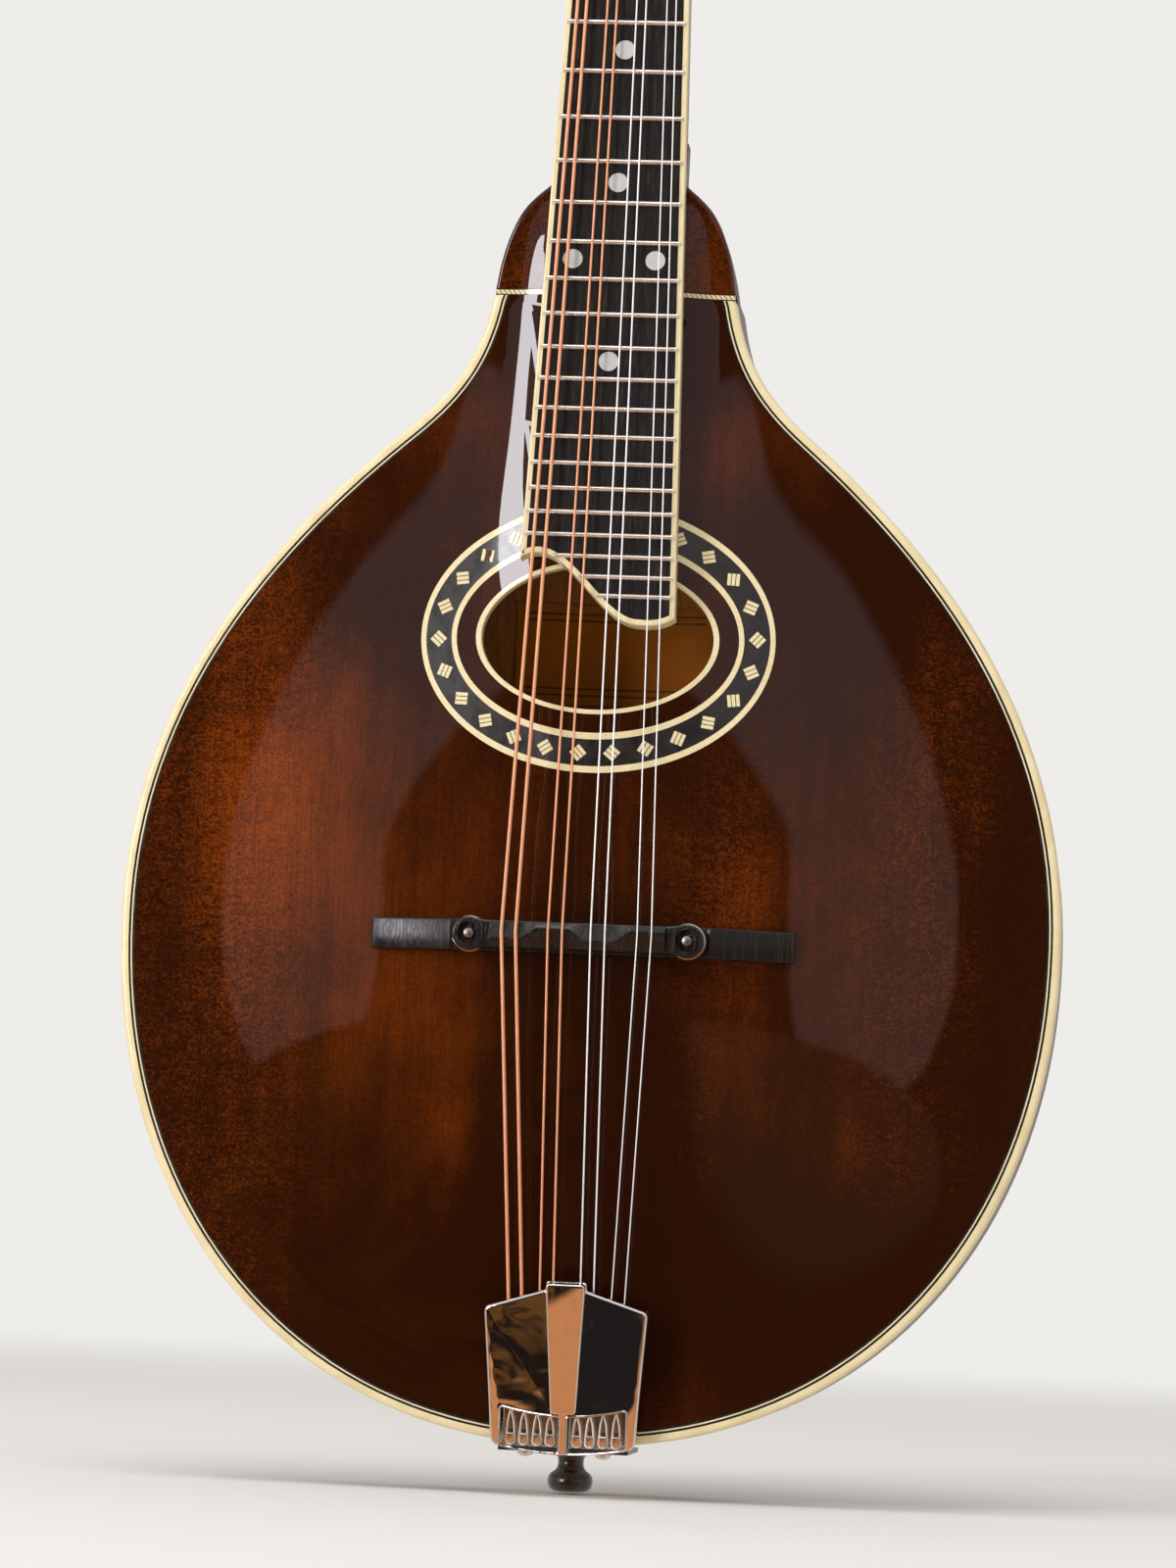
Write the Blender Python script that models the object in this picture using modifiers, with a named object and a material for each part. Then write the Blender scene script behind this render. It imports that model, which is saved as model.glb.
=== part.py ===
"""A-style mandolin with an oval sound hole, modelled as its separate pieces.

Metres. +Z runs up the strings, -Y points out of the top and +X to the treble side.
The origin is the middle of the end pin's outer face, the lowest point of the mandolin.
A height is measured forward from the rim plane, where the top meets its binding.
"""

import math

import bmesh
import bpy
import numpy as np
from mathutils import Matrix, Vector

MM = 0.001
COLLECTION_NAME = "mandolin"
GAP = 0.3 * MM

# Body outline, seen from the front
TAIL_Z = 13.0 * MM
WIDEST_Z = 151.7 * MM
TWELFTH_FRET_Z = 328.7 * MM
JOINT_Z = 327.4 * MM
HALF_WIDTH = 128.0 * MM
NECK_END_HALF_WIDTH = 33.0 * MM
LOWER_BOUT_POWER = 2.144
SHOULDER_POINT = (55.1 * MM, 288.0 * MM)
SHOULDER_ANGLE = math.radians(40.7)
NECK_END_ANGLE = math.radians(8.8)
LOWER_STEPS = 10
WAIST_STEPS = 7
SHOULDER_STEPS = 4

# Depth and layers of the sound box
RIM_FRONT_Y = -20.0 * MM
RIM_BACK_Y = 20.0 * MM
PLATE_THICKNESS = 4.2 * MM
TOP_ARCH = 15.0 * MM
BACK_ARCH = 14.0 * MM
ARCH_CENTRE_Z = 150.0 * MM
ARCH_START = 0.05
ARCH_POWER = 0.8
RECURVE_DEPTH = 0.6 * MM
RECURVE_PLACE = 0.10
RECURVE_SPREAD = 0.025
PLATE_RINGS = (1.0, 0.955, 0.9, 0.8, 0.65, 0.45, 0.25)
BINDING_WIDTH = 2.3 * MM
BINDING_DEPTH = 5.0 * MM
RIB_THICKNESS = 2.0 * MM
LINING_WIDTH = 4.5 * MM
LINING_DEPTH = 7.5 * MM
ARCH_CLEARANCE = 0.5 * MM
STRIP_LOW_Z = JOINT_Z - 2.1 * MM
STRIP_HIGH_Z = JOINT_Z - 0.4 * MM
STRIP_DEPTH = 4.0 * MM

# Blocks, brace and label inside the sound box
BLOCK_FRONT_Y = RIM_FRONT_Y + 5.1 * MM
BLOCK_BACK_Y = RIM_BACK_Y - 5.1 * MM
TAIL_BLOCK_HALF_WIDTH = 36.0 * MM
TAIL_BLOCK_TOP_Z = 35.0 * MM
NECK_BLOCK_BOTTOM_Z = 286.0 * MM
TENON_HALF_WIDTHS = (10.0 * MM, 13.0 * MM)
TENON_END_Z = 304.0 * MM
TENON_Y = (-12.0 * MM, 13.0 * MM)
MORTISE_Y = (-12.4 * MM, 13.4 * MM)
MORTISE_CLEARANCE = 0.35 * MM
BRACE_Z = (196.0 * MM, 201.0 * MM)
BRACE_PLACES = tuple(x * MM for x in (-74, -62, -45, -25, 0, 25, 45, 62, 74))
BRACE_DEPTH = 9.0 * MM
BRACE_TAPER_LENGTH = 90.0 * MM
BRACE_CLEARANCE = 0.6 * MM
LABEL_HALF_WIDTH = 27.5 * MM
LABEL_HALF_LENGTH = 14.0 * MM
LABEL_LIFTS = (0.9 * MM, 1.3 * MM)
LABEL_COLUMNS = 7
LABEL_ROWS = 5
PIN_HOLE_RADIUS = 4.3 * MM
PIN_HOLE_START_Z = TAIL_Z - 5.0 * MM
PIN_HOLE_END_Z = 32.0 * MM

# Sound hole and the inlay round it, as half axes across and along
HOLE_CENTRE_Z = TWELFTH_FRET_Z - 98.3 * MM
LABEL_CENTRE_Z = HOLE_CENTRE_Z + 1.1 * MM
HOLE_RING_OUTER = (33.1 * MM, 21.0 * MM)
HOLE_RING_INNER = (31.0 * MM, 19.5 * MM)
ROSETTE_OUTER = (48.2 * MM, 37.0 * MM)
ROSETTE_INNER = (38.4 * MM, 26.1 * MM)
ROSETTE_DEPTH = 0.7 * MM
HOLE_STEPS = 32

# Neck and fingerboard, in the neck's own frame: zero at the twelfth fret on the board's face
SCALE_LENGTH = 352.4 * MM
NECK_TILT = math.radians(5.5)
BOARD_HEIGHT_AT_TWELFTH = 9.0 * MM
BOARD_THICKNESS = 5.5 * MM
BOARD_EDGE = 1.5 * MM
NUT_HALF_WIDTH = 14.3 * MM
BOARD_HALF_WIDTH_AT_TWELFTH = 19.0 * MM
NUT_Z = SCALE_LENGTH / 2
NUT_TOP_Y = -1.0 * MM
FRET_COUNT = 24
FRET_WIDTH = 1.1 * MM
FRET_HEIGHT = 0.9 * MM
NECK_FACE_Y = BOARD_THICKNESS + GAP
RISER_HALF_WIDTH = 17.0 * MM
RISER_PLACES = tuple(z * MM for z in (266, 276, 288, 300, 312, 322, 327))
TRUSS_ROD_Y = 9.7 * MM
CHANNEL_HALF_WIDTH = 3.3 * MM
CHANNEL_BACK_Y = 13.5 * MM
CHANNEL_Z = (12.0 * MM, 190.0 * MM)

# Neck shaft, as (z, back), and heel above the joint, as (z, half width, front, back, squareness)
SHAFT_POWER = 2.3
SHAFT_SECTIONS = tuple((z * MM, back * MM) for z, back in (
    (-4, 22.9), (40, 22.4), (100, 21.6), (150, 20.8), (184.5, 20.4)))
HEEL_SECTIONS = tuple((z * MM, w * MM, front * MM, back * MM, power)
                      for z, w, front, back, power in (
                          (-1, 33.0, -20, 20.0, 7.0), (6, 31.7, -20, 19.6, 5.5),
                          (12.8, 29.8, -20, 17.6, 4.4), (18, 27.6, -20, 14.6, 3.6),
                          (22, 25.0, -20, 11.2, 3.0), (25, 22.0, -20, 8.0, 2.7),
                          (28, 18.2, -19.6, 4.6, 2.4), (34, 17.4, -18.0, 0.6, 2.3),
                          (44, 16.4, -16.5, -3.6, 2.2)))

# Headstock, in its own frame: zero where its face leaves the neck
HEAD_TILT = math.radians(14.0)
HEAD_START_Z = NUT_Z + 4.4 * MM
HEAD_LENGTH = 158.0 * MM
HEAD_THICKNESS = 14.0 * MM
VENEER_FRONT_Y = -1.8 * MM
POST_X = 19.5 * MM
FIRST_POST_Z = 36.0 * MM
POST_SPACING = 23.0 * MM
POSTS_PER_SIDE = 4
POST_RADIUS = 3.0 * MM
POST_WAIST_RADIUS = 2.6 * MM
POST_HOLE_RADIUS = 3.35 * MM

# Tuning machine: a single-start worm of module 0.5 on a gear of 14 teeth
GEAR_TEETH = 14
WORM_PITCH = math.pi * 0.5 * MM
GEAR_OUTER_RADIUS = 3.6 * MM
GEAR_ROOT_RADIUS = 2.95 * MM
GEAR_MIDDLE_Y = 18.3 * MM
GEAR_WIDTH = 1.8 * MM
WORM_OFFSET_Z = 5.5 * MM
WORM_CORE_RADIUS = 1.75 * MM
WORM_CREST_RADIUS = 1.95 * MM
WORM_THREAD_RADIUS = 0.27 * MM
WORM_TURNS = 1.5
WORM_POINTS_PER_TURN = 8
SHAFT_RADIUS = 1.2 * MM
PLATE_FRONT_Y = HEAD_THICKNESS + GAP
PLATE_BACK_Y = PLATE_FRONT_Y + 1.2 * MM
PLATE_X = (13.2 * MM, 26.6 * MM)
PLATE_END_MARGINS = (8.0 * MM, 12.0 * MM)
EAR_X = ((-5.6 * MM, -4.4 * MM), (4.4 * MM, 5.6 * MM))
EAR_HALF_WIDTH = 2.6 * MM
SHAFT_HOLE_RADIUS = 1.52 * MM
KNOB_SIZE = (11.0 * MM, 6.0 * MM, 13.0 * MM)
KNOB_BEVEL = 2.0 * MM
KNOB_MIDDLE_X = 28.0 * MM

# Bridge
BRIDGE_Z = 148.4 * MM
BRIDGE_HALF_LENGTH = 57.2 * MM
BRIDGE_HALF_WIDTH = 4.2 * MM
BASE_TOP_HEIGHT = 20.0 * MM
WHEEL_X = 29.2 * MM
WHEEL_RADIUS = 4.9 * MM
WHEEL_BOTTOM_HEIGHT = 22.0 * MM
WHEEL_THICKNESS = 1.6 * MM
SADDLE_BOTTOM_HEIGHT = 23.9 * MM
SADDLE_SHOULDER_HEIGHT = 28.2 * MM
SADDLE_TOP_HEIGHT = 29.8 * MM
BRIDGE_POST_RADIUS = 1.5 * MM
BRIDGE_POST_TOP_HEIGHT = 27.4 * MM
BRIDGE_HOLE_RADIUS = 1.85 * MM
COUNTERBORE_RADIUS = 2.9 * MM
COUNTERBORE_HEIGHT = 26.6 * MM
SADDLE_END_RADIUS = 4.3 * MM
SADDLE_END_STEPS = 8
SADDLE_NECK_X = 25.6 * MM
RIDGE_HALF_LENGTH = 23.5 * MM
BASE_FOOT_X = 12.0 * MM
BASE_FOOT_RISE = 1.4 * MM
BASE_STEP_X = 34.6 * MM
WING_TIP_THICKNESS = 3.2 * MM
WING_RISE = 3.6 * MM
BASE_PLACES = tuple(x * MM for x in (57.2, 53, 48, 43, 38.5, 34.8, 34.4, 24, 12.2, 11.8))

# Strings, bass to treble on each half: distance from the middle at nut, saddle and hook
NUT_SPREAD = (11.0 * MM, 9.0 * MM, 4.4 * MM, 2.3 * MM)
SADDLE_SPREAD = (20.0 * MM, 16.2 * MM, 7.6 * MM, 3.8 * MM)
HOOK_SPREAD = (14.2 * MM, 10.7 * MM, 7.1 * MM, 3.6 * MM)
STRING_NAMES = ("string_g_outer", "string_g_inner", "string_d_outer", "string_d_inner",
                "string_e_outer", "string_e_inner", "string_a_outer", "string_a_inner")
STRING_RADII = (0.5 * MM, 0.5 * MM, 0.33 * MM, 0.33 * MM,
                0.15 * MM, 0.15 * MM, 0.2 * MM, 0.2 * MM)
HOOK_HEIGHT = 6.2 * MM
HOOK_Z = 17.5 * MM
WINDING_TURNS = 2.25
WINDING_SPACE = 0.45 * MM
WINDING_POINTS_PER_TURN = 8

# Tailpiece, in a frame that slopes with the strings: zero on the strings' plane above the tail
TAILPIECE_Z = 11.8 * MM
COVER_TAIL_CORNER = (19.2 * MM, 3.3 * MM)
COVER_FRONT_CORNER = (22.1 * MM, 38.5 * MM)
COVER_STRIP_CORNER = (5.6 * MM, 43.9 * MM)
COVER_STRIP_Z = 46.2 * MM
COVER_TOP_Y = -2.1 * MM
COVER_SHEET = 0.9 * MM
COVER_SKIRT_Y = 4.2 * MM
STRIP_RAISE = 0.8 * MM
STRIP_TAIL_CORNER = (3.4 * MM, 10.4 * MM)
STRIP_HALF_WIDTH_FRONT = 5.3 * MM
WINDOW_NEAR_X = 1.1 * MM
WINDOW_FAR_X = 17.0 * MM
WINDOW_LOW_Z = -0.4 * MM
WINDOW_HIGH_Z = 9.7 * MM
WINDOW_LOW_BEND = 1.7 * MM
WINDOW_HIGH_BEND = 2.2 * MM
WINDOW_STEPS = 4
COVER_EDGE_BELOW_WINDOW = 0.5 * MM
BASE_HALF_WIDTH = 17.5 * MM
BASE_PLATE_Y = (1.9 * MM, 3.1 * MM)
BASE_PLATE_Z = (-0.4 * MM, 34.0 * MM)
HANGER_FRONT_Y = -24.6 * MM
HANGER_BACK_Y = 8.0 * MM
HOOK_HALF_WIDTH = 0.95 * MM
HOOK_TAB_Z = (1.4 * MM, 4.5 * MM)
HOOK_TAB_FRONT_Y = -0.8 * MM

MATERIALS = {
    "top_wood": ((0.085, 0.022, 0.006), 0.18, 0.0),
    "back_wood": ((0.10, 0.028, 0.008), 0.18, 0.0),
    "rib_wood": ((0.09, 0.024, 0.007), 0.18, 0.0),
    "neck_wood": ((0.08, 0.022, 0.007), 0.2, 0.0),
    "inner_wood": ((0.55, 0.38, 0.2), 0.7, 0.0),
    "binding": ((0.78, 0.66, 0.38), 0.3, 0.0),
    "inlay": ((0.02, 0.018, 0.016), 0.3, 0.0),
    "paper": ((0.55, 0.4, 0.18), 0.9, 0.0),
    "ebony": ((0.02, 0.016, 0.014), 0.4, 0.0),
    "bone": ((0.8, 0.76, 0.62), 0.4, 0.0),
    "steel": ((0.6, 0.6, 0.6), 0.3, 1.0),
    "nickel": ((0.75, 0.74, 0.7), 0.12, 1.0),
    "brass": ((0.7, 0.52, 0.22), 0.3, 1.0),
    "bronze": ((0.75, 0.42, 0.2), 0.35, 1.0),
    "end_pin_wood": ((0.02, 0.016, 0.014), 0.35, 0.0),
}


# Scene and object helpers

def clear_scene():
    for obj in list(bpy.data.objects):
        bpy.data.objects.remove(obj, do_unlink=True)


def new_collection(name):
    collection = bpy.data.collections.new(name)
    bpy.context.scene.collection.children.link(collection)
    return collection


def make_materials():
    for name, (colour, roughness, metallic) in MATERIALS.items():
        material = bpy.data.materials.new(name)
        material.use_nodes = True
        shader = material.node_tree.nodes["Principled BSDF"]
        shader.inputs["Base Color"].default_value = (*colour, 1.0)
        shader.inputs["Roughness"].default_value = roughness
        shader.inputs["Metallic"].default_value = metallic
        material.diffuse_color = (*colour, 1.0)


def frame_empty(name, matrix):
    empty = bpy.data.objects.new(name, None)
    empty.empty_display_size = 0.02
    empty.matrix_world = matrix
    collection.objects.link(empty)
    return empty


def add_piece(name, mesh, material, frame=None, place=(0.0, 0.0, 0.0), turn=0.0):
    """Put a mesh in the scene as one named piece; turn is about the frame's own Z."""
    obj = bpy.data.objects.new(name, mesh)
    if not mesh.materials:
        mesh.materials.append(bpy.data.materials[material])
    mesh.shade_smooth()
    mesh.set_sharp_from_angle(angle=math.radians(35))
    collection.objects.link(obj)
    obj.parent = frame
    obj.location = place
    obj.rotation_euler = (0.0, 0.0, turn)
    return obj


def mesh_from_object(obj):
    """Evaluate a curve or a modified mesh, weld it and remove the object."""
    bpy.context.view_layer.update()
    evaluated = obj.evaluated_get(bpy.context.evaluated_depsgraph_get())
    mesh = bpy.data.meshes.new_from_object(evaluated)
    bpy.data.objects.remove(obj, do_unlink=True)
    builder = bmesh.new()
    builder.from_mesh(mesh)
    bmesh.ops.remove_doubles(builder, verts=builder.verts, dist=1e-6)
    bmesh.ops.recalc_face_normals(builder, faces=builder.faces)
    builder.to_mesh(mesh)
    builder.free()
    mesh.materials.clear()
    return mesh


def link_for_evaluation(data):
    obj = bpy.data.objects.new("working_piece", data)
    bpy.context.scene.collection.objects.link(obj)
    return obj


def combine(mesh, others, operation):
    """Cut or join other meshes to a mesh, all given in the same frame."""
    target = link_for_evaluation(mesh)
    helpers = []
    for other in others:
        helper = link_for_evaluation(other)
        helpers.append(helper)
        modifier = target.modifiers.new("combine", "BOOLEAN")
        modifier.operation = operation
        modifier.object = helper
    result = mesh_from_object(target)
    for helper in helpers:
        bpy.data.objects.remove(helper, do_unlink=True)
    return result


def cut(mesh, *cutters):
    return combine(mesh, cutters, "DIFFERENCE")


def join(mesh, *others):
    return combine(mesh, others, "UNION")


def merged(meshes):
    """Several separate solids in one mesh, to be joined to a piece together."""
    builder = bmesh.new()
    for mesh in meshes:
        builder.from_mesh(mesh)
    result = bpy.data.meshes.new("merged")
    builder.to_mesh(result)
    builder.free()
    return result


def moved(mesh, matrix):
    mesh.transform(matrix)
    return mesh


def shifted(mesh, x=0.0, y=0.0, z=0.0):
    return moved(mesh, Matrix.Translation((x, y, z)))


# Shapes

def box(low, high):
    """A box between two corners."""
    mesh = bpy.data.meshes.new("box")
    builder = bmesh.new()
    bmesh.ops.create_cube(builder, size=1.0)
    size = Vector(high) - Vector(low)
    middle = (Vector(high) + Vector(low)) / 2
    bmesh.ops.scale(builder, vec=size, verts=builder.verts)
    bmesh.ops.translate(builder, vec=middle, verts=builder.verts)
    builder.to_mesh(mesh)
    builder.free()
    return mesh


def rod(radius, start, end, segments=16, axis="Y"):
    """A cylinder from start to end along one axis, through the origin of the other two."""
    mesh = bpy.data.meshes.new("rod")
    builder = bmesh.new()
    bmesh.ops.create_cone(builder, cap_ends=True, segments=segments, radius1=radius,
                          radius2=radius, depth=end - start)
    builder.to_mesh(mesh)
    builder.free()
    mesh.transform(Matrix.Translation((0, 0, (start + end) / 2)))
    if axis == "Y":
        mesh.transform(Matrix.Rotation(-math.pi / 2, 4, "X"))
    if axis == "X":
        mesh.transform(Matrix.Rotation(math.pi / 2, 4, "Y"))
    return mesh


def prism(outline, front_y, back_y):
    """A flat outline of (x, z) points with a thickness along Y."""
    curve = bpy.data.curves.new("outline", "CURVE")
    curve.dimensions = "2D"
    curve.fill_mode = "BOTH"
    curve.extrude = (back_y - front_y) / 2
    spline = curve.splines.new("POLY")
    spline.points.add(len(outline) - 1)
    for point, (x, z) in zip(spline.points, outline):
        point.co = (x, z, 0.0, 1.0)
    spline.use_cyclic_u = True
    mesh = mesh_from_object(link_for_evaluation(curve))
    mesh.transform(Matrix.Rotation(math.pi / 2, 4, "X"))
    return shifted(mesh, y=(front_y + back_y) / 2)


def turned(profile, steps, axis="Z"):
    """A turned shape: (radius, distance) pairs from the far end of the axis to the near end."""
    mesh = bpy.data.meshes.new("profile")
    points = [(radius, 0.0, along) for radius, along in profile]
    edges = [(i, i + 1) for i in range(len(points) - 1)]
    mesh.from_pydata(points, edges, [])
    obj = link_for_evaluation(mesh)
    screw = obj.modifiers.new("turn", "SCREW")
    screw.steps = steps
    screw.render_steps = steps
    screw.use_merge_vertices = True
    screw.merge_threshold = 0.00001
    result = mesh_from_object(obj)
    if axis == "Y":
        result.transform(Matrix.Rotation(-math.pi / 2, 4, "X"))
    if axis == "X":
        result.transform(Matrix.Rotation(math.pi / 2, 4, "Y"))
    return result


def wire(points, radius, resolution=1):
    """A round wire along the points, with closed ends."""
    curve = bpy.data.curves.new("wire", "CURVE")
    curve.dimensions = "3D"
    curve.bevel_depth = radius
    curve.bevel_resolution = resolution
    curve.use_fill_caps = True
    spline = curve.splines.new("POLY")
    spline.points.add(len(points) - 1)
    for point, place in zip(spline.points, points):
        point.co = (*place, 1.0)
    return mesh_from_object(link_for_evaluation(curve))


def loft(sections):
    """A closed solid through rings that have the same number of points."""
    builder = bmesh.new()
    rings = [[builder.verts.new(point) for point in section] for section in sections]
    count = len(rings[0])
    for ring, following in zip(rings, rings[1:]):
        for i in range(count):
            j = (i + 1) % count
            builder.faces.new((ring[i], ring[j], following[j], following[i]))
    builder.faces.new(reversed(rings[0]))
    builder.faces.new(rings[-1])
    bmesh.ops.recalc_face_normals(builder, faces=builder.faces)
    mesh = bpy.data.meshes.new("loft")
    builder.to_mesh(mesh)
    builder.free()
    return mesh


def bezier(p0, p1, p2, p3, count):
    """Points along a cubic curve, without its first point."""
    points = []
    for i in range(1, count + 1):
        t = i / count
        s = 1.0 - t
        weights = (s ** 3, 3 * s * s * t, 3 * s * t * t, t ** 3)
        points.append(tuple(sum(w * p[k] for w, p in zip(weights, (p0, p1, p2, p3)))
                            for k in (0, 1)))
    return points


def offset_path(points, distance):
    """Move an open path to its left by a distance, with mitred corners."""
    path = [Vector(point) for point in points]
    moved_points = []
    for i, point in enumerate(path):
        before = path[i] - path[i - 1] if i > 0 else path[1] - path[0]
        after = path[i + 1] - path[i] if i < len(path) - 1 else path[-1] - path[-2]
        normal_before = Vector((-before.y, before.x)).normalized()
        normal_after = Vector((-after.y, after.x)).normalized()
        mitre = (normal_before + normal_after).normalized()
        moved_points.append(tuple(point + mitre * (distance / mitre.dot(normal_before))))
    return moved_points


def mirrored(points):
    """The same points on the other side of the middle, in the opposite order."""
    return [(-x, z) for x, z in reversed(points)]


def ellipse(half_axes, grow=0.0, steps=HOLE_STEPS):
    """Points of an ellipse round the sound hole's centre."""
    across = half_axes[0] + grow
    along = half_axes[1] + grow
    angles = [2 * math.pi * i / steps for i in range(steps)]
    return [(across * math.cos(a), HOLE_CENTRE_Z + along * math.sin(a)) for a in angles]


# Body outline and arch

def half_outline():
    """Right half of the body's outer edge, from the tail up to the neck joint."""
    points = []
    drop = WIDEST_Z - TAIL_Z
    for i in range(LOWER_STEPS + 1):
        angle = math.pi / 2 * i / LOWER_STEPS
        x = HALF_WIDTH * math.sin(angle) ** (2 / LOWER_BOUT_POWER)
        z = WIDEST_Z - drop * math.cos(angle) ** (2 / LOWER_BOUT_POWER)
        points.append((x, z))
    lean = Vector((-math.cos(SHOULDER_ANGLE), math.sin(SHOULDER_ANGLE)))
    shoulder = Vector(SHOULDER_POINT)
    widest = Vector((HALF_WIDTH, WIDEST_Z))
    neck_end = Vector((NECK_END_HALF_WIDTH, JOINT_Z))
    neck_lean = Vector((math.sin(NECK_END_ANGLE), -math.cos(NECK_END_ANGLE)))
    points += bezier(widest, widest + Vector((0.0, 60.6 * MM)), shoulder - lean * 49.7 * MM,
                     shoulder, WAIST_STEPS)
    points += bezier(shoulder, shoulder + lean * 17.9 * MM, neck_end + neck_lean * 17.9 * MM,
                     neck_end, SHOULDER_STEPS)
    return points


def half_edge(inset, start_x=0.0, top_z=JOINT_Z):
    """The right half of the outline moved inwards, starting at start_x and ending at top_z."""
    points = offset_path(half_outline(), inset)
    points[0] = (start_x, points[0][1])
    points[-1] = (points[-1][0], top_z)
    return points


def full_edge(inset, top_z=JOINT_Z):
    """The whole outline moved inwards, from the treble shoulder round the tail to the bass."""
    right = half_edge(inset, top_z=top_z)
    return mirrored(right)[:-1] + right


def edge_by_angle():
    """The outline as a distance from the arch's centre for each angle."""
    points = half_outline() + [(x, JOINT_Z) for x in (22 * MM, 11 * MM, 0.0)]
    angles = [math.atan2(z - ARCH_CENTRE_Z, x) for x, z in points]
    distances = [math.hypot(x, z - ARCH_CENTRE_Z) for x, z in points]
    return angles, distances


EDGE_ANGLES, EDGE_DISTANCES = edge_by_angle()


def arch(x, z, peak):
    """Height of a carved plate: flat at the rim, a slight hollow, then a dome."""
    angle = math.atan2(z - ARCH_CENTRE_Z, abs(x))
    edge = float(np.interp(angle, EDGE_ANGLES, EDGE_DISTANCES))
    inward = 1.0 - min(math.hypot(x, z - ARCH_CENTRE_Z) / edge, 1.0)
    rise = max(inward - ARCH_START, 0.0) / (1.0 - ARCH_START)
    dome = peak * (1.0 - math.cos(math.pi * rise ** ARCH_POWER)) / 2
    hollow = RECURVE_DEPTH * math.exp(-((inward - RECURVE_PLACE) / RECURVE_SPREAD) ** 2)
    return dome - hollow


def top_y(x, z):
    """Y of the top plate's outer face."""
    return RIM_FRONT_Y - arch(x, z, TOP_ARCH)


def back_y(x, z):
    """Y of the back plate's outer face."""
    return RIM_BACK_Y + arch(x, z, BACK_ARCH)


def height(value):
    """Y of a point at a height in front of the rim plane."""
    return RIM_FRONT_Y - value


def arched_plate(outline, face_y, thickness):
    """A carved plate; its rings shrink towards the arch's centre. Positive is inwards."""
    layers = []
    builder = bmesh.new()
    for depth in (0.0, thickness):
        rings = []
        for fraction in PLATE_RINGS:
            ring = []
            for x, z in outline:
                px = x * fraction
                pz = ARCH_CENTRE_Z + (z - ARCH_CENTRE_Z) * fraction
                ring.append(builder.verts.new((px, face_y(px, pz) + depth, pz)))
            rings.append(ring)
        middle_y = face_y(0.0, ARCH_CENTRE_Z) + depth
        layers.append((rings, builder.verts.new((0.0, middle_y, ARCH_CENTRE_Z))))
    count = len(outline)
    for rings, middle in layers:
        for ring, following in zip(rings, rings[1:]):
            for i in range(count):
                j = (i + 1) % count
                builder.faces.new((ring[i], ring[j], following[j], following[i]))
        for i in range(count):
            builder.faces.new((rings[-1][i], rings[-1][(i + 1) % count], middle))
    outer = layers[0][0][0]
    inner = layers[1][0][0]
    for i in range(count):
        j = (i + 1) % count
        builder.faces.new((outer[i], inner[i], inner[j], outer[j]))
    bmesh.ops.recalc_face_normals(builder, faces=builder.faces)
    mesh = bpy.data.meshes.new("arched_plate")
    builder.to_mesh(mesh)
    builder.free()
    return mesh


def arched_ring(outer_axes, inner_axes, raised, sunk, grow=0.0, steps=HOLE_STEPS):
    """An oval ring round the sound hole that follows the top's arch, without ends."""
    builder = bmesh.new()
    corners = []
    outer = ellipse(outer_axes, grow, steps)
    inner = ellipse(inner_axes, -grow, steps)
    for points, offset in ((outer, -raised), (outer, sunk), (inner, sunk), (inner, -raised)):
        corners.append([builder.verts.new((x, top_y(x, z) + offset, z)) for x, z in points])
    for ring, following in zip(corners, corners[1:] + corners[:1]):
        for i in range(steps):
            j = (i + 1) % steps
            builder.faces.new((ring[i], ring[j], following[j], following[i]))
    bmesh.ops.recalc_face_normals(builder, faces=builder.faces)
    mesh = bpy.data.meshes.new("arched_ring")
    builder.to_mesh(mesh)
    builder.free()
    return mesh


# Sound box

def pin_hole_cutter():
    """The end pin's hole along Z, at the origin's X and Y."""
    return rod(PIN_HOLE_RADIUS, PIN_HOLE_START_Z, PIN_HOLE_END_Z, segments=16, axis="Z")


def make_top():
    outline = full_edge(BINDING_WIDTH + GAP, top_z=STRIP_LOW_Z - GAP)
    plate = arched_plate(outline, top_y, PLATE_THICKNESS)
    hole = prism(ellipse(HOLE_RING_OUTER, GAP), RIM_FRONT_Y - 30 * MM, RIM_BACK_Y)
    groove = arched_ring(ROSETTE_OUTER, ROSETTE_INNER, 3 * MM, ROSETTE_DEPTH + GAP, GAP)
    add_piece("top_plate", cut(plate, hole, groove), "top_wood")
    add_piece("rosette", arched_ring(ROSETTE_OUTER, ROSETTE_INNER, 0.0, ROSETTE_DEPTH), "inlay")
    add_piece("soundhole_binding",
              arched_ring(HOLE_RING_OUTER, HOLE_RING_INNER, 0.0, PLATE_THICKNESS), "binding")


def make_back():
    plate = arched_plate(full_edge(BINDING_WIDTH + GAP), back_y, -PLATE_THICKNESS)
    add_piece("back_plate", plate, "back_wood")


def make_bindings():
    outer = full_edge(0.0)
    inner = full_edge(BINDING_WIDTH)
    band = outer + inner[::-1]
    add_piece("back_binding", prism(band, RIM_BACK_Y - BINDING_DEPTH, RIM_BACK_Y), "binding")
    outer = full_edge(0.0, top_z=STRIP_LOW_Z - GAP)
    inner = full_edge(BINDING_WIDTH, top_z=STRIP_LOW_Z - GAP)
    band = outer + inner[::-1]
    add_piece("top_binding", prism(band, RIM_FRONT_Y, RIM_FRONT_Y + BINDING_DEPTH), "binding")
    half = NECK_END_HALF_WIDTH - 0.2 * MM
    strip = box((-half, RIM_FRONT_Y, STRIP_LOW_Z), (half, RIM_FRONT_Y + STRIP_DEPTH, STRIP_HIGH_Z))
    add_piece("neck_joint_strip", strip, "binding")


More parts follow.
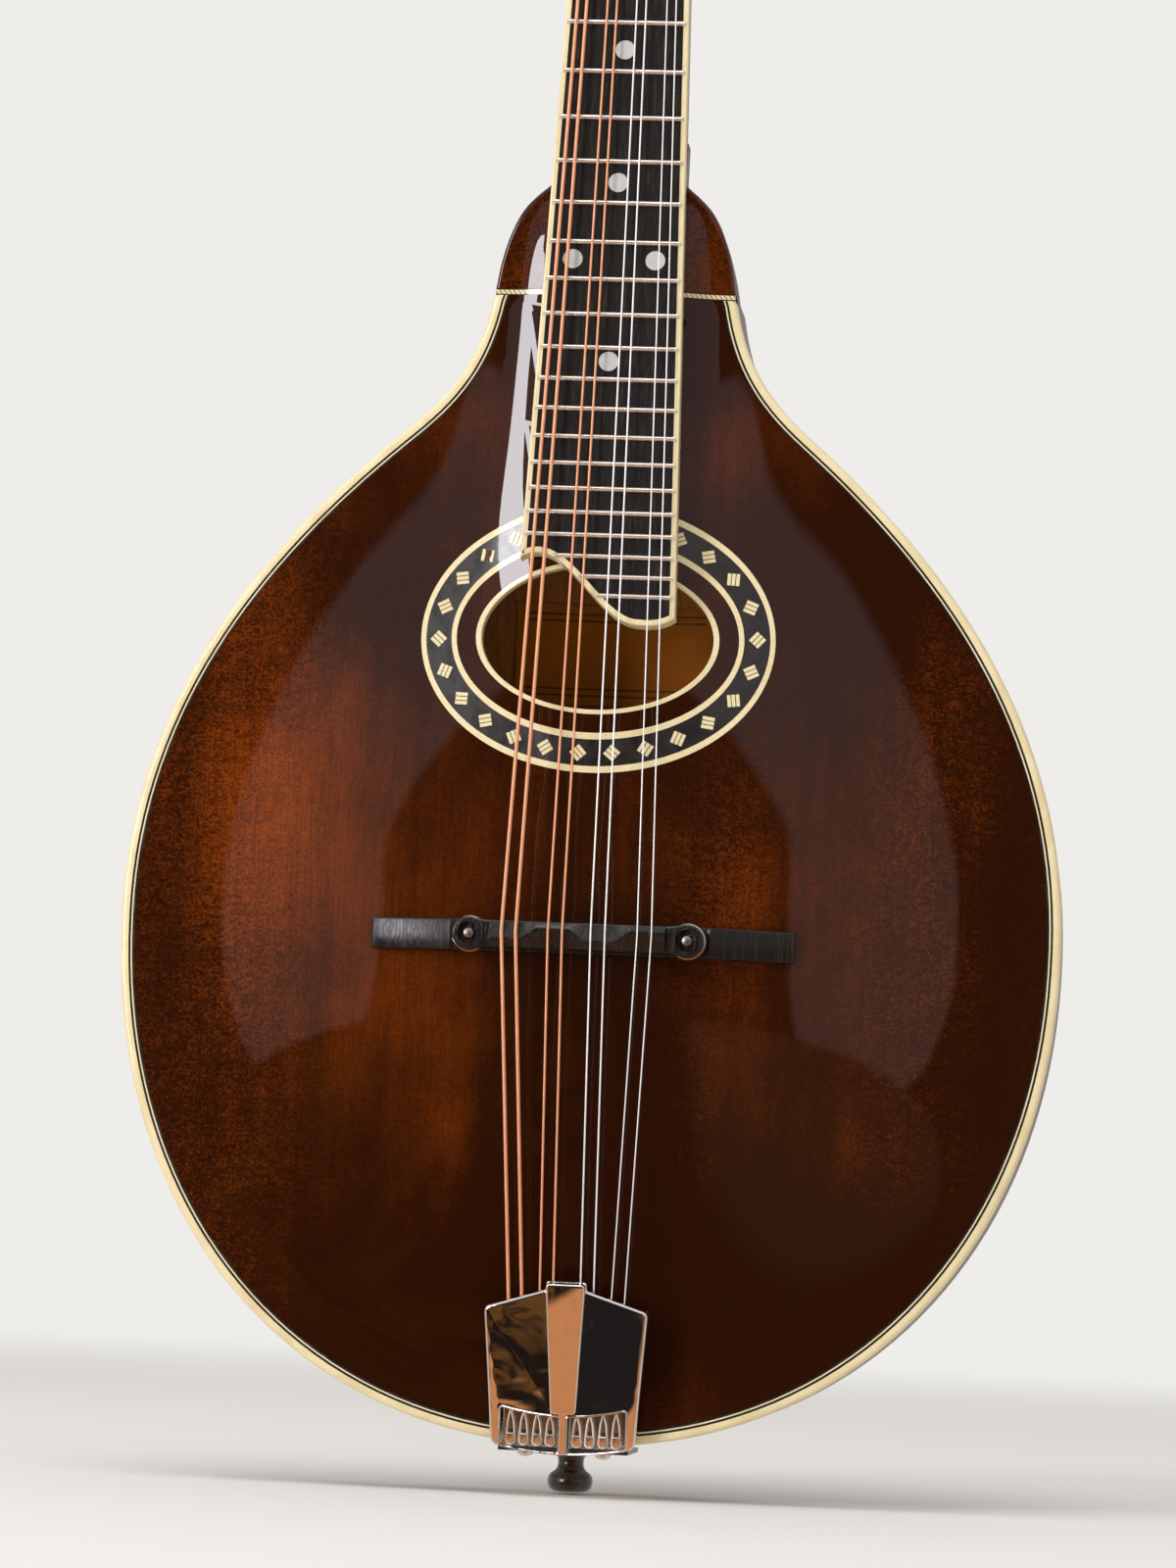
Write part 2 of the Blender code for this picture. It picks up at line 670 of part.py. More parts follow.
def make_ribs():
    front = RIM_FRONT_Y + BINDING_DEPTH + GAP
    back = RIM_BACK_Y - BINDING_DEPTH - GAP
    outer = half_edge(0.0, start_x=GAP / 2)
    inner = half_edge(RIB_THICKNESS, start_x=GAP / 2)
    band = outer + inner[::-1]
    add_piece("rib_treble", cut(prism(band, front, back), pin_hole_cutter()), "rib_wood")
    add_piece("rib_bass", cut(prism(mirrored(band), front, back), pin_hole_cutter()), "rib_wood")


def make_blocks():
    lower = [p for p in full_edge(RIB_THICKNESS + GAP) if p[1] < TAIL_BLOCK_TOP_Z
             and abs(p[0]) < TAIL_BLOCK_HALF_WIDTH]
    left = lower[0][0]
    right = lower[-1][0]
    outline = lower + [(right, TAIL_BLOCK_TOP_Z), (left, TAIL_BLOCK_TOP_Z)]
    block = prism(outline, BLOCK_FRONT_Y, BLOCK_BACK_Y)
    add_piece("tail_block", cut(block, pin_hole_cutter()), "inner_wood")

    upper = [p for p in half_edge(RIB_THICKNESS + GAP) if p[1] > NECK_BLOCK_BOTTOM_Z]
    block = prism(upper + mirrored(upper), BLOCK_FRONT_Y, BLOCK_BACK_Y)
    mortise = prism(tenon_outline(MORTISE_CLEARANCE, JOINT_Z + 5 * MM), *MORTISE_Y)
    add_piece("neck_block", cut(block, mortise), "inner_wood")


def tenon_outline(grow, top_z):
    """The dovetail that joins the neck to its block; wider at its inner end."""
    top = TENON_HALF_WIDTHS[0] + grow
    end = TENON_HALF_WIDTHS[1] + grow
    return [(-end, TENON_END_Z - grow), (end, TENON_END_Z - grow), (top, top_z), (-top, top_z)]


def make_linings():
    outer = half_edge(RIB_THICKNESS + GAP)
    inner = half_edge(RIB_THICKNESS + GAP + LINING_WIDTH)
    kept = [i for i, (x, z) in enumerate(outer)
            if x > TAIL_BLOCK_HALF_WIDTH and z < NECK_BLOCK_BOTTOM_Z - 4 * MM]
    band = [outer[i] for i in kept] + [inner[i] for i in reversed(kept)]
    front = RIM_FRONT_Y + PLATE_THICKNESS + GAP
    back = RIM_BACK_Y - PLATE_THICKNESS - GAP
    for side, outline in (("treble", band), ("bass", mirrored(band))):
        add_piece("top_lining_" + side, prism(outline, front, front + LINING_DEPTH), "inner_wood")
        add_piece("back_lining_" + side, prism(outline, back - LINING_DEPTH, back), "inner_wood")


def make_brace():
    """A bar across the inside of the top, just below the sound hole."""
    low_z, high_z = BRACE_Z
    sections = []
    for x in BRACE_PLACES:
        front = top_y(x, high_z) + PLATE_THICKNESS + BRACE_CLEARANCE
        depth = BRACE_DEPTH * (1.0 - (abs(x) / BRACE_TAPER_LENGTH) ** 3)
        sections.append([(x, front, low_z), (x, front, high_z),
                         (x, front + depth, high_z), (x, front + depth, low_z)])
    add_piece("top_brace", loft(sections), "inner_wood")


def make_label():
    """The paper label glued inside the back, under the sound hole."""
    xs = [LABEL_HALF_WIDTH * (2 * c / (LABEL_COLUMNS - 1) - 1) for c in range(LABEL_COLUMNS)]
    zs = [LABEL_CENTRE_Z + LABEL_HALF_LENGTH * (2 * r / (LABEL_ROWS - 1) - 1)
          for r in range(LABEL_ROWS)]
    builder = bmesh.new()
    layers = []
    for lift in LABEL_LIFTS:
        grid = []
        for z in zs:
            grid.append([builder.verts.new((x, back_y(x, z) - PLATE_THICKNESS - lift, z))
                         for x in xs])
        for r in range(LABEL_ROWS - 1):
            for c in range(LABEL_COLUMNS - 1):
                builder.faces.new((grid[r][c], grid[r][c + 1], grid[r + 1][c + 1], grid[r + 1][c]))
        layers.append(grid)
    rims = []
    for grid in layers:
        rims.append(grid[0] + [row[-1] for row in grid[1:-1]] + grid[-1][::-1]
                    + [row[0] for row in grid[-2:0:-1]])
    for i in range(len(rims[0])):
        j = (i + 1) % len(rims[0])
        builder.faces.new((rims[0][i], rims[0][j], rims[1][j], rims[1][i]))
    bmesh.ops.recalc_face_normals(builder, faces=builder.faces)
    mesh = bpy.data.meshes.new("label")
    builder.to_mesh(mesh)
    builder.free()
    add_piece("label", mesh, "paper")


# Neck, fingerboard and headstock

def neck_matrix():
    origin = Matrix.Translation((0, height(BOARD_HEIGHT_AT_TWELFTH), TWELFTH_FRET_Z))
    return origin @ Matrix.Rotation(-NECK_TILT, 4, "X")


def head_matrix():
    start = Matrix.Translation((0, NECK_FACE_Y, HEAD_START_Z))
    return neck_matrix() @ start @ Matrix.Rotation(-HEAD_TILT, 4, "X")


def board_half_width(z):
    """Half the fingerboard's width at a distance from the twelfth fret along the neck."""
    widening = (BOARD_HALF_WIDTH_AT_TWELFTH - NUT_HALF_WIDTH) / NUT_Z
    return BOARD_HALF_WIDTH_AT_TWELFTH - widening * z


def board_path():
    """The fingerboard's edge: down the bass side, round the scrolled end, up the treble side."""
    left_corner = (-21.1 * MM, -78.1 * MM)
    scroll_low = (12.2 * MM, -95.8 * MM)
    right_corner = (21.6 * MM, -93.6 * MM)
    path = [(-NUT_HALF_WIDTH, NUT_Z), left_corner]
    path += bezier(left_corner, (-9 * MM, -70 * MM), (0.0, -96.5 * MM), scroll_low, 8)
    path += bezier(scroll_low, (16 * MM, -96.2 * MM), (19.5 * MM, -95.3 * MM), right_corner, 3)
    return path + [(NUT_HALF_WIDTH, NUT_Z)]


def span_at(outline, z):
    """Lowest and highest x where a closed outline crosses a line of constant z."""
    crossings = []
    for (x0, z0), (x1, z1) in zip(outline, outline[1:] + outline[:1]):
        if (z0 - z) * (z1 - z) < 0:
            crossings.append(x0 + (x1 - x0) * (z - z0) / (z1 - z0))
    return min(crossings), max(crossings)


def make_fingerboard(neck_frame):
    path = board_path()
    inner = offset_path(path, BOARD_EDGE)
    inner[0] = (inner[0][0], NUT_Z)
    inner[-1] = (inner[-1][0], NUT_Z)
    edge = prism(path + inner[::-1], 0.0, BOARD_THICKNESS)
    add_piece("fingerboard_binding", edge, "binding", neck_frame)
    outline = offset_path(path, BOARD_EDGE + GAP)
    outline[0] = (outline[0][0], NUT_Z)
    outline[-1] = (outline[-1][0], NUT_Z)
    board = prism(outline, 0.0, BOARD_THICKNESS)
    frets = []
    for number in range(1, FRET_COUNT + 1):
        z = NUT_Z - SCALE_LENGTH * (1 - 2 ** (-number / 12))
        low_x, high_x = span_at(outline, z)
        frets.append(box((low_x + GAP, -FRET_HEIGHT, z - FRET_WIDTH / 2),
                         (high_x - GAP, 1 * MM, z + FRET_WIDTH / 2)))
    add_piece("fingerboard", join(board, merged(frets)), "ebony", neck_frame)


def board_underside_y(z):
    """World Y of the plane that the fingerboard is glued to, at a world Z."""
    along = (z - TWELFTH_FRET_Z + NECK_FACE_Y * math.sin(NECK_TILT)) / math.cos(NECK_TILT)
    start = height(BOARD_HEIGHT_AT_TWELFTH) + NECK_FACE_Y * math.cos(NECK_TILT)
    return start + along * math.sin(NECK_TILT)


def make_riser():
    """The wedge between the top and the fingerboard's overhanging end."""
    sections = []
    for z in RISER_PLACES:
        front = board_underside_y(z)
        ring = [(-RISER_HALF_WIDTH, front, z), (RISER_HALF_WIDTH, front, z)]
        for share in (1.0, 0.53, 0.0, -0.53, -1.0):
            x = RISER_HALF_WIDTH * share
            ring.append((x, top_y(x, z) - ARCH_CLEARANCE, z))
        sections.append(ring)
    add_piece("fingerboard_riser", loft(sections), "neck_wood")


def oval_section(z, half_width, front, back, power, steps=12):
    """A D-shaped ring: flat at the front, rounded at the back, squarer with a higher power."""
    points = []
    for i in range(steps + 1):
        angle = math.pi * i / steps
        x = half_width * math.copysign(abs(math.cos(angle)) ** (2 / power), math.cos(angle))
        points.append((x, front + (back - front) * math.sin(angle) ** (2 / power), z))
    return points


def head_outline(inset=0.0):
    """The headstock seen from its face, nut end first."""
    half = [(NUT_HALF_WIDTH, 0.0)]
    half += bezier(half[-1], (15 * MM, 12 * MM), (31.5 * MM, 14 * MM), (32 * MM, 32 * MM), 6)
    half += bezier(half[-1], (32.6 * MM, 55 * MM), (29 * MM, 100 * MM), (30.5 * MM, 134 * MM), 5)
    half += bezier(half[-1], (31.5 * MM, 147 * MM), (22 * MM, 150 * MM), (15 * MM, 149.5 * MM), 4)
    half += bezier(half[-1], (9 * MM, 149 * MM), (6 * MM, HEAD_LENGTH - 1 * MM),
                   (0.0, HEAD_LENGTH), 3)
    if inset:
        half = offset_path(half, inset)
        half[-1] = (0.0, half[-1][1])
    return half + mirrored(half)[1:]


def post_places():
    """Side, number and (x, z) of each tuning post, lowest first on each side."""
    for side, sign in (("bass", -1), ("treble", 1)):
        for number in range(POSTS_PER_SIDE):
            yield side, number, sign * POST_X, FIRST_POST_Z + POST_SPACING * number


def post_hole_cutter(start_y, end_y):
    holes = [shifted(rod(POST_HOLE_RADIUS, start_y, end_y, 8), x=x, z=z)
             for _, _, x, z in post_places()]
    return merged(holes)


def pocket_cutter():
    """The hollow behind the truss rod's nut."""
    return box((-4.5 * MM, -4 * MM, -4 * MM), (4.5 * MM, 6.5 * MM, 20 * MM))


def make_neck():
    sections = [oval_section(z, board_half_width(z), NECK_FACE_Y, back, SHAFT_POWER)
                for z, back in SHAFT_SECTIONS]
    shaft = moved(loft(sections), neck_matrix())
    joint = JOINT_Z + GAP
    heel = loft([oval_section(TWELFTH_FRET_Z + z, half_width, front, back, power)
                 for z, half_width, front, back, power in HEEL_SECTIONS])
    head = moved(prism(head_outline(), 0.0, HEAD_THICKNESS), head_matrix())
    neck = join(shaft, heel, head)
    front_of_head = moved(box((-0.06, -0.03, 0.0), (0.06, 0.0, 0.2)), head_matrix())
    below_joint = box((-0.06, -0.06, joint - 0.05), (0.06, 0.06, joint))
    neck = cut(neck, front_of_head, below_joint)
    tenon = prism(tenon_outline(0.0, joint + 2 * MM), *TENON_Y)
    channel = moved(box((-CHANNEL_HALF_WIDTH, NECK_FACE_Y - 3 * MM, CHANNEL_Z[0]),
                        (CHANNEL_HALF_WIDTH, CHANNEL_BACK_Y, CHANNEL_Z[1])), neck_matrix())
    pocket = moved(pocket_cutter(), head_matrix())
    holes = moved(post_hole_cutter(-5 * MM, HEAD_THICKNESS + 5 * MM), head_matrix())
    neck = cut(join(neck, tenon), channel, pocket, holes)
    add_piece("neck", neck, "neck_wood")


def make_neck_fittings(neck_frame, head_frame):
    veneer = prism([(x, max(z, 0.8 * MM)) for x, z in head_outline(0.1 * MM)],
                   VENEER_FRONT_Y, -GAP)
    veneer = cut(veneer, pocket_cutter(), post_hole_cutter(-5 * MM, 5 * MM))
    add_piece("headstock_veneer", veneer, "ebony", head_frame)
    nut = box((-NUT_HALF_WIDTH, NUT_TOP_Y, NUT_Z + GAP),
              (NUT_HALF_WIDTH, BOARD_THICKNESS, NUT_Z + 4.0 * MM))
    add_piece("nut", nut, "bone", neck_frame)
    profile = ((0.0, 191), (3.0, 191), (3.0, 184.5), (2.3, 184.5), (2.3, 14), (0.0, 14))
    truss = turned([(r * MM, z * MM) for r, z in profile], 10)
    add_piece("truss_rod", truss, "steel", neck_frame, (0.0, TRUSS_ROD_Y, 0.0))
    half = [(8.5 * MM, 2.2 * MM)]
    half += bezier(half[-1], (9.5 * MM, 10 * MM), (4 * MM, 14 * MM), (4 * MM, 20 * MM), 5)
    half += bezier(half[-1], (4 * MM, 24 * MM), (2 * MM, 26 * MM), (0.0, 26.5 * MM), 3)
    cover = prism(half + mirrored(half)[1:], VENEER_FRONT_Y - 1.8 * MM, VENEER_FRONT_Y - GAP)
    add_piece("truss_rod_cover", cover, "ebony", head_frame)


# Tuning machines

def gear_outline():
    """A 14-tooth gear with a gap at the top, where the worm's thread enters."""
    points = []
    tooth = 2 * math.pi / GEAR_TEETH
    for i in range(GEAR_TEETH):
        middle = math.pi / 2 + tooth * (i + 0.5)
        for radius, share in ((GEAR_OUTER_RADIUS, -0.13), (GEAR_OUTER_RADIUS, 0.13),
                              (GEAR_ROOT_RADIUS, 0.5)):
            angle = middle + tooth * share
            points.append((radius * math.cos(angle), radius * math.sin(angle)))
    return points


def post_mesh():
    """A tuning post with its gear at the back of the headstock."""
    back = GEAR_MIDDLE_Y + GEAR_WIDTH / 2 + 0.5 * MM
    profile = ((0.0, back), (POST_RADIUS, back),
               (POST_RADIUS, -3.6 * MM), (POST_WAIST_RADIUS, -4.0 * MM),
               (POST_WAIST_RADIUS, -8.9 * MM), (POST_RADIUS, -9.3 * MM),
               (POST_RADIUS, -11.6 * MM), (2.0 * MM, -12.4 * MM), (0.0, -12.4 * MM))
    post = turned(profile, 8, axis="Y")
    gear = prism(gear_outline(), GEAR_MIDDLE_Y - GEAR_WIDTH / 2, GEAR_MIDDLE_Y + GEAR_WIDTH / 2)
    return join(gear, post)


def knob_mesh():
    """A worm shaft along X with its knob; zero is where the worm meets the gear."""
    shaft_radius = SHAFT_RADIUS / MM
    core_radius = WORM_CORE_RADIUS / MM
    profile = ((0.0, 24), (2.6, 24), (2.6, 20.5), (shaft_radius, 19.5), (shaft_radius, 4.0),
               (core_radius, 4.0), (core_radius, -4.0), (shaft_radius, -4.0),
               (shaft_radius, -6.6), (0.0, -6.6))
    shaft = turned([(r * MM, x * MM) for r, x in profile], 8, axis="X")
    count = round(WORM_TURNS * WORM_POINTS_PER_TURN)
    points = []
    for i in range(count + 1):
        x = WORM_PITCH * WORM_TURNS * (i / count - 0.5)
        angle = 2 * math.pi * x / WORM_PITCH - math.pi / 2
        points.append((x, WORM_CREST_RADIUS * math.cos(angle), WORM_CREST_RADIUS * math.sin(angle)))
    thread = wire(points, WORM_THREAD_RADIUS, 0)
    knob = bpy.data.meshes.new("knob")
    builder = bmesh.new()
    bmesh.ops.create_cube(builder, size=1.0)
    bmesh.ops.scale(builder, vec=KNOB_SIZE, verts=builder.verts)
    bmesh.ops.bevel(builder, geom=list(builder.edges), offset=KNOB_BEVEL, segments=1,
                    profile=0.5, affect="EDGES")
    bmesh.ops.translate(builder, vec=(KNOB_MIDDLE_X, 0, 0), verts=builder.verts)
    builder.to_mesh(knob)
    builder.free()
    return join(shaft, thread, knob)


def make_tuners(head_frame):
    post = post_mesh()
    knob = knob_mesh()
    for side, number, x, z in post_places():
        label = side + "_" + str(number + 1)
        add_piece("tuner_post_" + label, post, "nickel", head_frame, (x, 0.0, z))
        turn = math.pi if x < 0 else 0.0
        add_piece("tuner_knob_" + label, knob, "nickel", head_frame,
                  (x, GEAR_MIDDLE_Y, z + WORM_OFFSET_Z), turn)
    for side, sign in (("bass", -1), ("treble", 1)):
        add_piece("tuner_plate_" + side, tuner_plate_mesh(sign), "nickel", head_frame)


def tuner_plate_mesh(sign):
    """The plate behind four posts, with two ears for each worm shaft."""
    low_x, high_x = sorted(sign * x for x in PLATE_X)
    low_z = FIRST_POST_Z - PLATE_END_MARGINS[0]
    high_z = FIRST_POST_Z + POST_SPACING * (POSTS_PER_SIDE - 1) + PLATE_END_MARGINS[1]
    plate = box((low_x, PLATE_FRONT_Y, low_z), (high_x, PLATE_BACK_Y, high_z))
    ears = []
    holes = []
    shaft_holes = []
    for number in range(POSTS_PER_SIDE):
        z = FIRST_POST_Z + POST_SPACING * number
        worm_z = z + WORM_OFFSET_Z
        for near, far in EAR_X:
            ends = sorted((sign * (POST_X + near), sign * (POST_X + far)))
            ears.append(box((ends[0], PLATE_BACK_Y - 0.4 * MM, worm_z - EAR_HALF_WIDTH),
                            (ends[1], GEAR_MIDDLE_Y + 2.7 * MM, worm_z + EAR_HALF_WIDTH)))
        holes.append(shifted(rod(POST_HOLE_RADIUS, 10 * MM, 20 * MM, 8), x=sign * POST_X, z=z))
        shaft_holes.append(shifted(rod(SHAFT_HOLE_RADIUS, -10 * MM, 10 * MM, 8, axis="X"),
                                   x=sign * POST_X, y=GEAR_MIDDLE_Y, z=worm_z))
    plate = join(plate, merged(ears))
    return cut(plate, merged(holes), merged(shaft_holes))


# Bridge

def bridge_base_section(x):
    """Foot and top of the bridge base at one place along it."""
    bottom = arch(x, BRIDGE_Z, TOP_ARCH) + ARCH_CLEARANCE
    if abs(x) < BASE_FOOT_X:
        bottom += BASE_FOOT_RISE
    top = BASE_TOP_HEIGHT
    if abs(x) > BASE_STEP_X:
        outward = (abs(x) - BASE_STEP_X) / (BRIDGE_HALF_LENGTH - BASE_STEP_X)
        top = bottom + WING_TIP_THICKNESS + WING_RISE * (1.0 - outward) ** 2
    low_z = BRIDGE_Z - BRIDGE_HALF_WIDTH
    high_z = BRIDGE_Z + BRIDGE_HALF_WIDTH
    return [(x, height(bottom), low_z), (x, height(bottom), high_z),
            (x, height(top), high_z), (x, height(top), low_z)]


def bridge_post_holes(radius, bottom, segments):
    """Two round cutters along Y at the bridge posts, from a height upwards."""
    return merged([shifted(rod(radius, height(40 * MM), bottom, segments), x=x, z=BRIDGE_Z)
                   for x in (-WHEEL_X, WHEEL_X)])


def saddle_outline():
    """The saddle seen from the front: round ends over the wheels, narrower between them."""
    outline = []
    for i in range(SADDLE_END_STEPS + 1):
        angle = math.pi * (i / SADDLE_END_STEPS - 0.5)
        outline.append((WHEEL_X + SADDLE_END_RADIUS * math.cos(angle),
                        BRIDGE_Z + SADDLE_END_RADIUS * math.sin(angle)))
    outline += [(SADDLE_NECK_X, BRIDGE_Z + 3.4 * MM), (0.0, BRIDGE_Z + 3.2 * MM)]
    outline += [(-x, z) for x, z in reversed(outline[:-1])]
    return outline + [(0.0, BRIDGE_Z - 3.6 * MM), (SADDLE_NECK_X, BRIDGE_Z - 3.6 * MM)]


def make_bridge():
    places = [-x for x in BASE_PLACES] + [0.0] + [x for x in reversed(BASE_PLACES)]
    base = loft([bridge_base_section(x) for x in places])
    add_piece("bridge_base", cut(base, bridge_post_holes(BRIDGE_HOLE_RADIUS, 0.0, 12)), "ebony")

    saddle = prism(saddle_outline(), height(SADDLE_SHOULDER_HEIGHT), height(SADDLE_BOTTOM_HEIGHT))
    ridge = box((-RIDGE_HALF_LENGTH, height(SADDLE_TOP_HEIGHT), BRIDGE_Z - 1.2 * MM),
                (RIDGE_HALF_LENGTH, height(SADDLE_SHOULDER_HEIGHT - 1 * MM), BRIDGE_Z + 2.6 * MM))
    saddle = cut(join(saddle, ridge), bridge_post_holes(BRIDGE_HOLE_RADIUS, 0.0, 12),
                 bridge_post_holes(COUNTERBORE_RADIUS, height(COUNTERBORE_HEIGHT), 14))
    add_piece("bridge_saddle", saddle, "ebony")

    for side, x in (("bass", -WHEEL_X), ("treble", WHEEL_X)):
        wheel = turned([(BRIDGE_HOLE_RADIUS, WHEEL_THICKNESS), (WHEEL_RADIUS, WHEEL_THICKNESS),
                        (WHEEL_RADIUS, 0.0), (BRIDGE_HOLE_RADIUS, 0.0),
                        (BRIDGE_HOLE_RADIUS, WHEEL_THICKNESS)], 20, axis="Y")
        top = WHEEL_BOTTOM_HEIGHT + WHEEL_THICKNESS
        add_piece("thumbwheel_" + side, wheel, "nickel", None, (x, height(top), BRIDGE_Z))
        start = height(BRIDGE_POST_TOP_HEIGHT)
        end = height(arch(x, BRIDGE_Z, TOP_ARCH) + 1.2 * MM)
        post = rod(BRIDGE_POST_RADIUS, start, end, 12)
        add_piece("bridge_post_" + side, post, "brass", None, (x, 0.0, BRIDGE_Z))


# Tailpiece and end pin

def string_slope():
    rise = SADDLE_TOP_HEIGHT + 0.8 * MM - HOOK_HEIGHT
    return math.atan2(rise, BRIDGE_Z - HOOK_Z)


def tailpiece_matrix():
    drop = (HOOK_Z - TAILPIECE_Z) * math.tan(string_slope())
    origin = Matrix.Translation((0, height(HOOK_HEIGHT - drop), TAILPIECE_Z))
    return origin @ Matrix.Rotation(string_slope(), 4, "X")


def window_edge(start, bend, reverse=False):
    """One long edge of the treble window, bent up towards its outer end."""
    xs = [WINDOW_NEAR_X + (WINDOW_FAR_X - WINDOW_NEAR_X) * i / WINDOW_STEPS
          for i in range(WINDOW_STEPS + 1)]
    points = [(x, start + bend * (x / WINDOW_FAR_X) ** 2) for x in xs]
    return points[::-1] if reverse else points


def cover_outline():
    """The cover seen from the front; the strip at its middle reaches further forward."""
    half = window_edge(WINDOW_LOW_Z - COVER_EDGE_BELOW_WINDOW, WINDOW_LOW_BEND)
    half += [COVER_TAIL_CORNER, COVER_FRONT_CORNER, COVER_STRIP_CORNER,
             (COVER_STRIP_CORNER[0], COVER_STRIP_Z)]
    return half + mirrored(half)


def cover_hollow():
    """The channel inside the cover, open at both ends so that it can slide off."""
    widening = (COVER_FRONT_CORNER[0] - COVER_TAIL_CORNER[0]) / (
        COVER_FRONT_CORNER[1] - COVER_TAIL_CORNER[1])
    reach = 12 * MM
    low_z = COVER_TAIL_CORNER[1] - reach
    high_z = COVER_FRONT_CORNER[1] + reach
    low_x = COVER_TAIL_CORNER[0] - COVER_SHEET - widening * reach
    high_x = COVER_FRONT_CORNER[0] - COVER_SHEET + widening * reach
    outline = [(-low_x, low_z), (low_x, low_z), (high_x, high_z), (-high_x, high_z)]
    return prism(outline, COVER_TOP_Y + COVER_SHEET, COVER_SKIRT_Y + 5 * MM)


def make_tailpiece_cover(tail_frame):
    shell = cut(prism(cover_outline(), COVER_TOP_Y, COVER_SKIRT_Y), cover_hollow())
    strip_half = [STRIP_TAIL_CORNER, (STRIP_HALF_WIDTH_FRONT, COVER_STRIP_Z - 0.2 * MM)]
    strip = prism(strip_half + mirrored(strip_half), COVER_TOP_Y - STRIP_RAISE,
                  COVER_TOP_Y + 0.4 * MM)
    treble = window_edge(WINDOW_LOW_Z, WINDOW_LOW_BEND)
    treble += window_edge(WINDOW_HIGH_Z, WINDOW_HIGH_BEND, reverse=True)
    windows = [prism(outline, COVER_TOP_Y - 3 * MM, COVER_TOP_Y + COVER_SHEET + 0.5 * MM)
               for outline in (treble, mirrored(treble))]
    cover = cut(join(shell, strip), merged(windows))
    add_piece("tailpiece_cover", cover, "nickel", tail_frame)


def make_tailpiece_base():
    """The plate under the strings with its eight hooks, and its hanger over the tail."""
    to_row = tailpiece_matrix()
    plate = moved(box((-BASE_HALF_WIDTH, BASE_PLATE_Y[0], BASE_PLATE_Z[0]),
                      (BASE_HALF_WIDTH, BASE_PLATE_Y[1], BASE_PLATE_Z[1])), to_row)
    hanger = box((-BASE_HALF_WIDTH, HANGER_FRONT_Y, TAIL_Z - 1.6 * MM),
                 (BASE_HALF_WIDTH, HANGER_BACK_Y, TAIL_Z - 0.4 * MM))
    hooks = []
    for spread in HOOK_SPREAD:
        for x in (-spread, spread):
            tab = box((x - HOOK_HALF_WIDTH, HOOK_TAB_FRONT_Y, HOOK_TAB_Z[0]),
                      (x + HOOK_HALF_WIDTH, BASE_PLATE_Y[0] + 0.3 * MM, HOOK_TAB_Z[1]))
            hooks.append(moved(tab, to_row))
    base = cut(join(plate, hanger, merged(hooks)), pin_hole_cutter())
    add_piece("tailpiece_base", base, "nickel")


def make_end_pin():
    profile = ((0.0, 30.5), (3.4, 30.5), (3.9, 11.1), (5.0, 11.1), (5.0, 10.2), (3.4, 8.8),
               (3.6, 6.6), (5.4, 5.2), (6.15, 3.2), (5.9, 1.2), (4.6, 0.0), (0.0, 0.0))
    pin = turned([(r * MM, z * MM) for r, z in profile], 16)
    add_piece("end_pin", pin, "end_pin_wood")


# Strings

def least_gap(points, radius):
    """Smallest clear distance between turns of a wire that are most of a turn apart."""
    least = math.inf
    apart = WINDING_POINTS_PER_TURN * 3 // 4
    for i, first in enumerate(points):
        for second in points[i + apart:]:
            least = min(least, (Vector(first) - Vector(second)).length - 2 * radius)
    return least


def string_route(sign, order, radius):
    """Hook, saddle, nut, then a winding round the post, in world coordinates."""
    to_neck = neck_matrix()
    to_head = head_matrix()
    to_tail = tailpiece_matrix()
    post_z = FIRST_POST_Z + POST_SPACING * order
    ring = POST_WAIST_RADIUS + GAP + radius
    start_y = -7.9 * MM
    step_y = (2 * radius + WINDING_SPACE) / WINDING_POINTS_PER_TURN
    count = round(WINDING_TURNS * WINDING_POINTS_PER_TURN)
    winding = []
    for i in range(count + 1):
        angle = 2 * math.pi * i / WINDING_POINTS_PER_TURN
        x = sign * (POST_X - ring * math.cos(angle))
        winding.append(to_head @ Vector((x, start_y + step_y * i, post_z + ring * math.sin(angle))))
    hook = to_tail @ Vector((sign * HOOK_SPREAD[order], 0.0, 4.8 * MM))
    saddle = Vector((sign * SADDLE_SPREAD[order], height(SADDLE_TOP_HEIGHT + GAP + radius),
                     BRIDGE_Z + 0.7 * MM))
    nut = to_neck @ Vector((sign * NUT_SPREAD[order], NUT_TOP_Y - GAP - radius, NUT_Z + 3.2 * MM))
    print("least gap in winding, mm:", round(least_gap(winding, radius) / MM, 3))
    return [hook, saddle, nut] + winding


def make_strings():
    for index, (name, radius) in enumerate(zip(STRING_NAMES, STRING_RADII)):
        sign = -1 if index < 4 else 1
        order = index % 4
        material = "bronze" if index < 4 else "steel"
        add_piece(name, wire(string_route(sign, order, radius), radius), material)


clear_scene()
collection = new_collection(COLLECTION_NAME)
make_materials()
neck_frame = frame_empty("neck_frame", neck_matrix())
head_frame = frame_empty("headstock_frame", head_matrix())
tail_frame = frame_empty("tailpiece_frame", tailpiece_matrix())
make_top()
make_back()
make_bindings()
make_ribs()
make_blocks()
make_linings()
make_brace()
make_label()
make_neck()
make_fingerboard(neck_frame)
make_riser()
make_neck_fittings(neck_frame, head_frame)
make_tuners(head_frame)
make_bridge()
make_tailpiece_cover(tail_frame)
make_tailpiece_base()
make_end_pin()
make_strings()
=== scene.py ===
"""The look of an a-style mandolin with an oval sound hole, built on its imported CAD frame.

Row frame: +Z runs up the strings, -Y points out of the top, +X is the treble side. Shapes are
written in millimetres, and piece() turns them into metres. Every object stays at the origin, so
that the Object texture coordinates of all materials are places on the real instrument.
"""

import math

import bmesh
import bpy
import numpy as np
from mathutils import Matrix, Vector


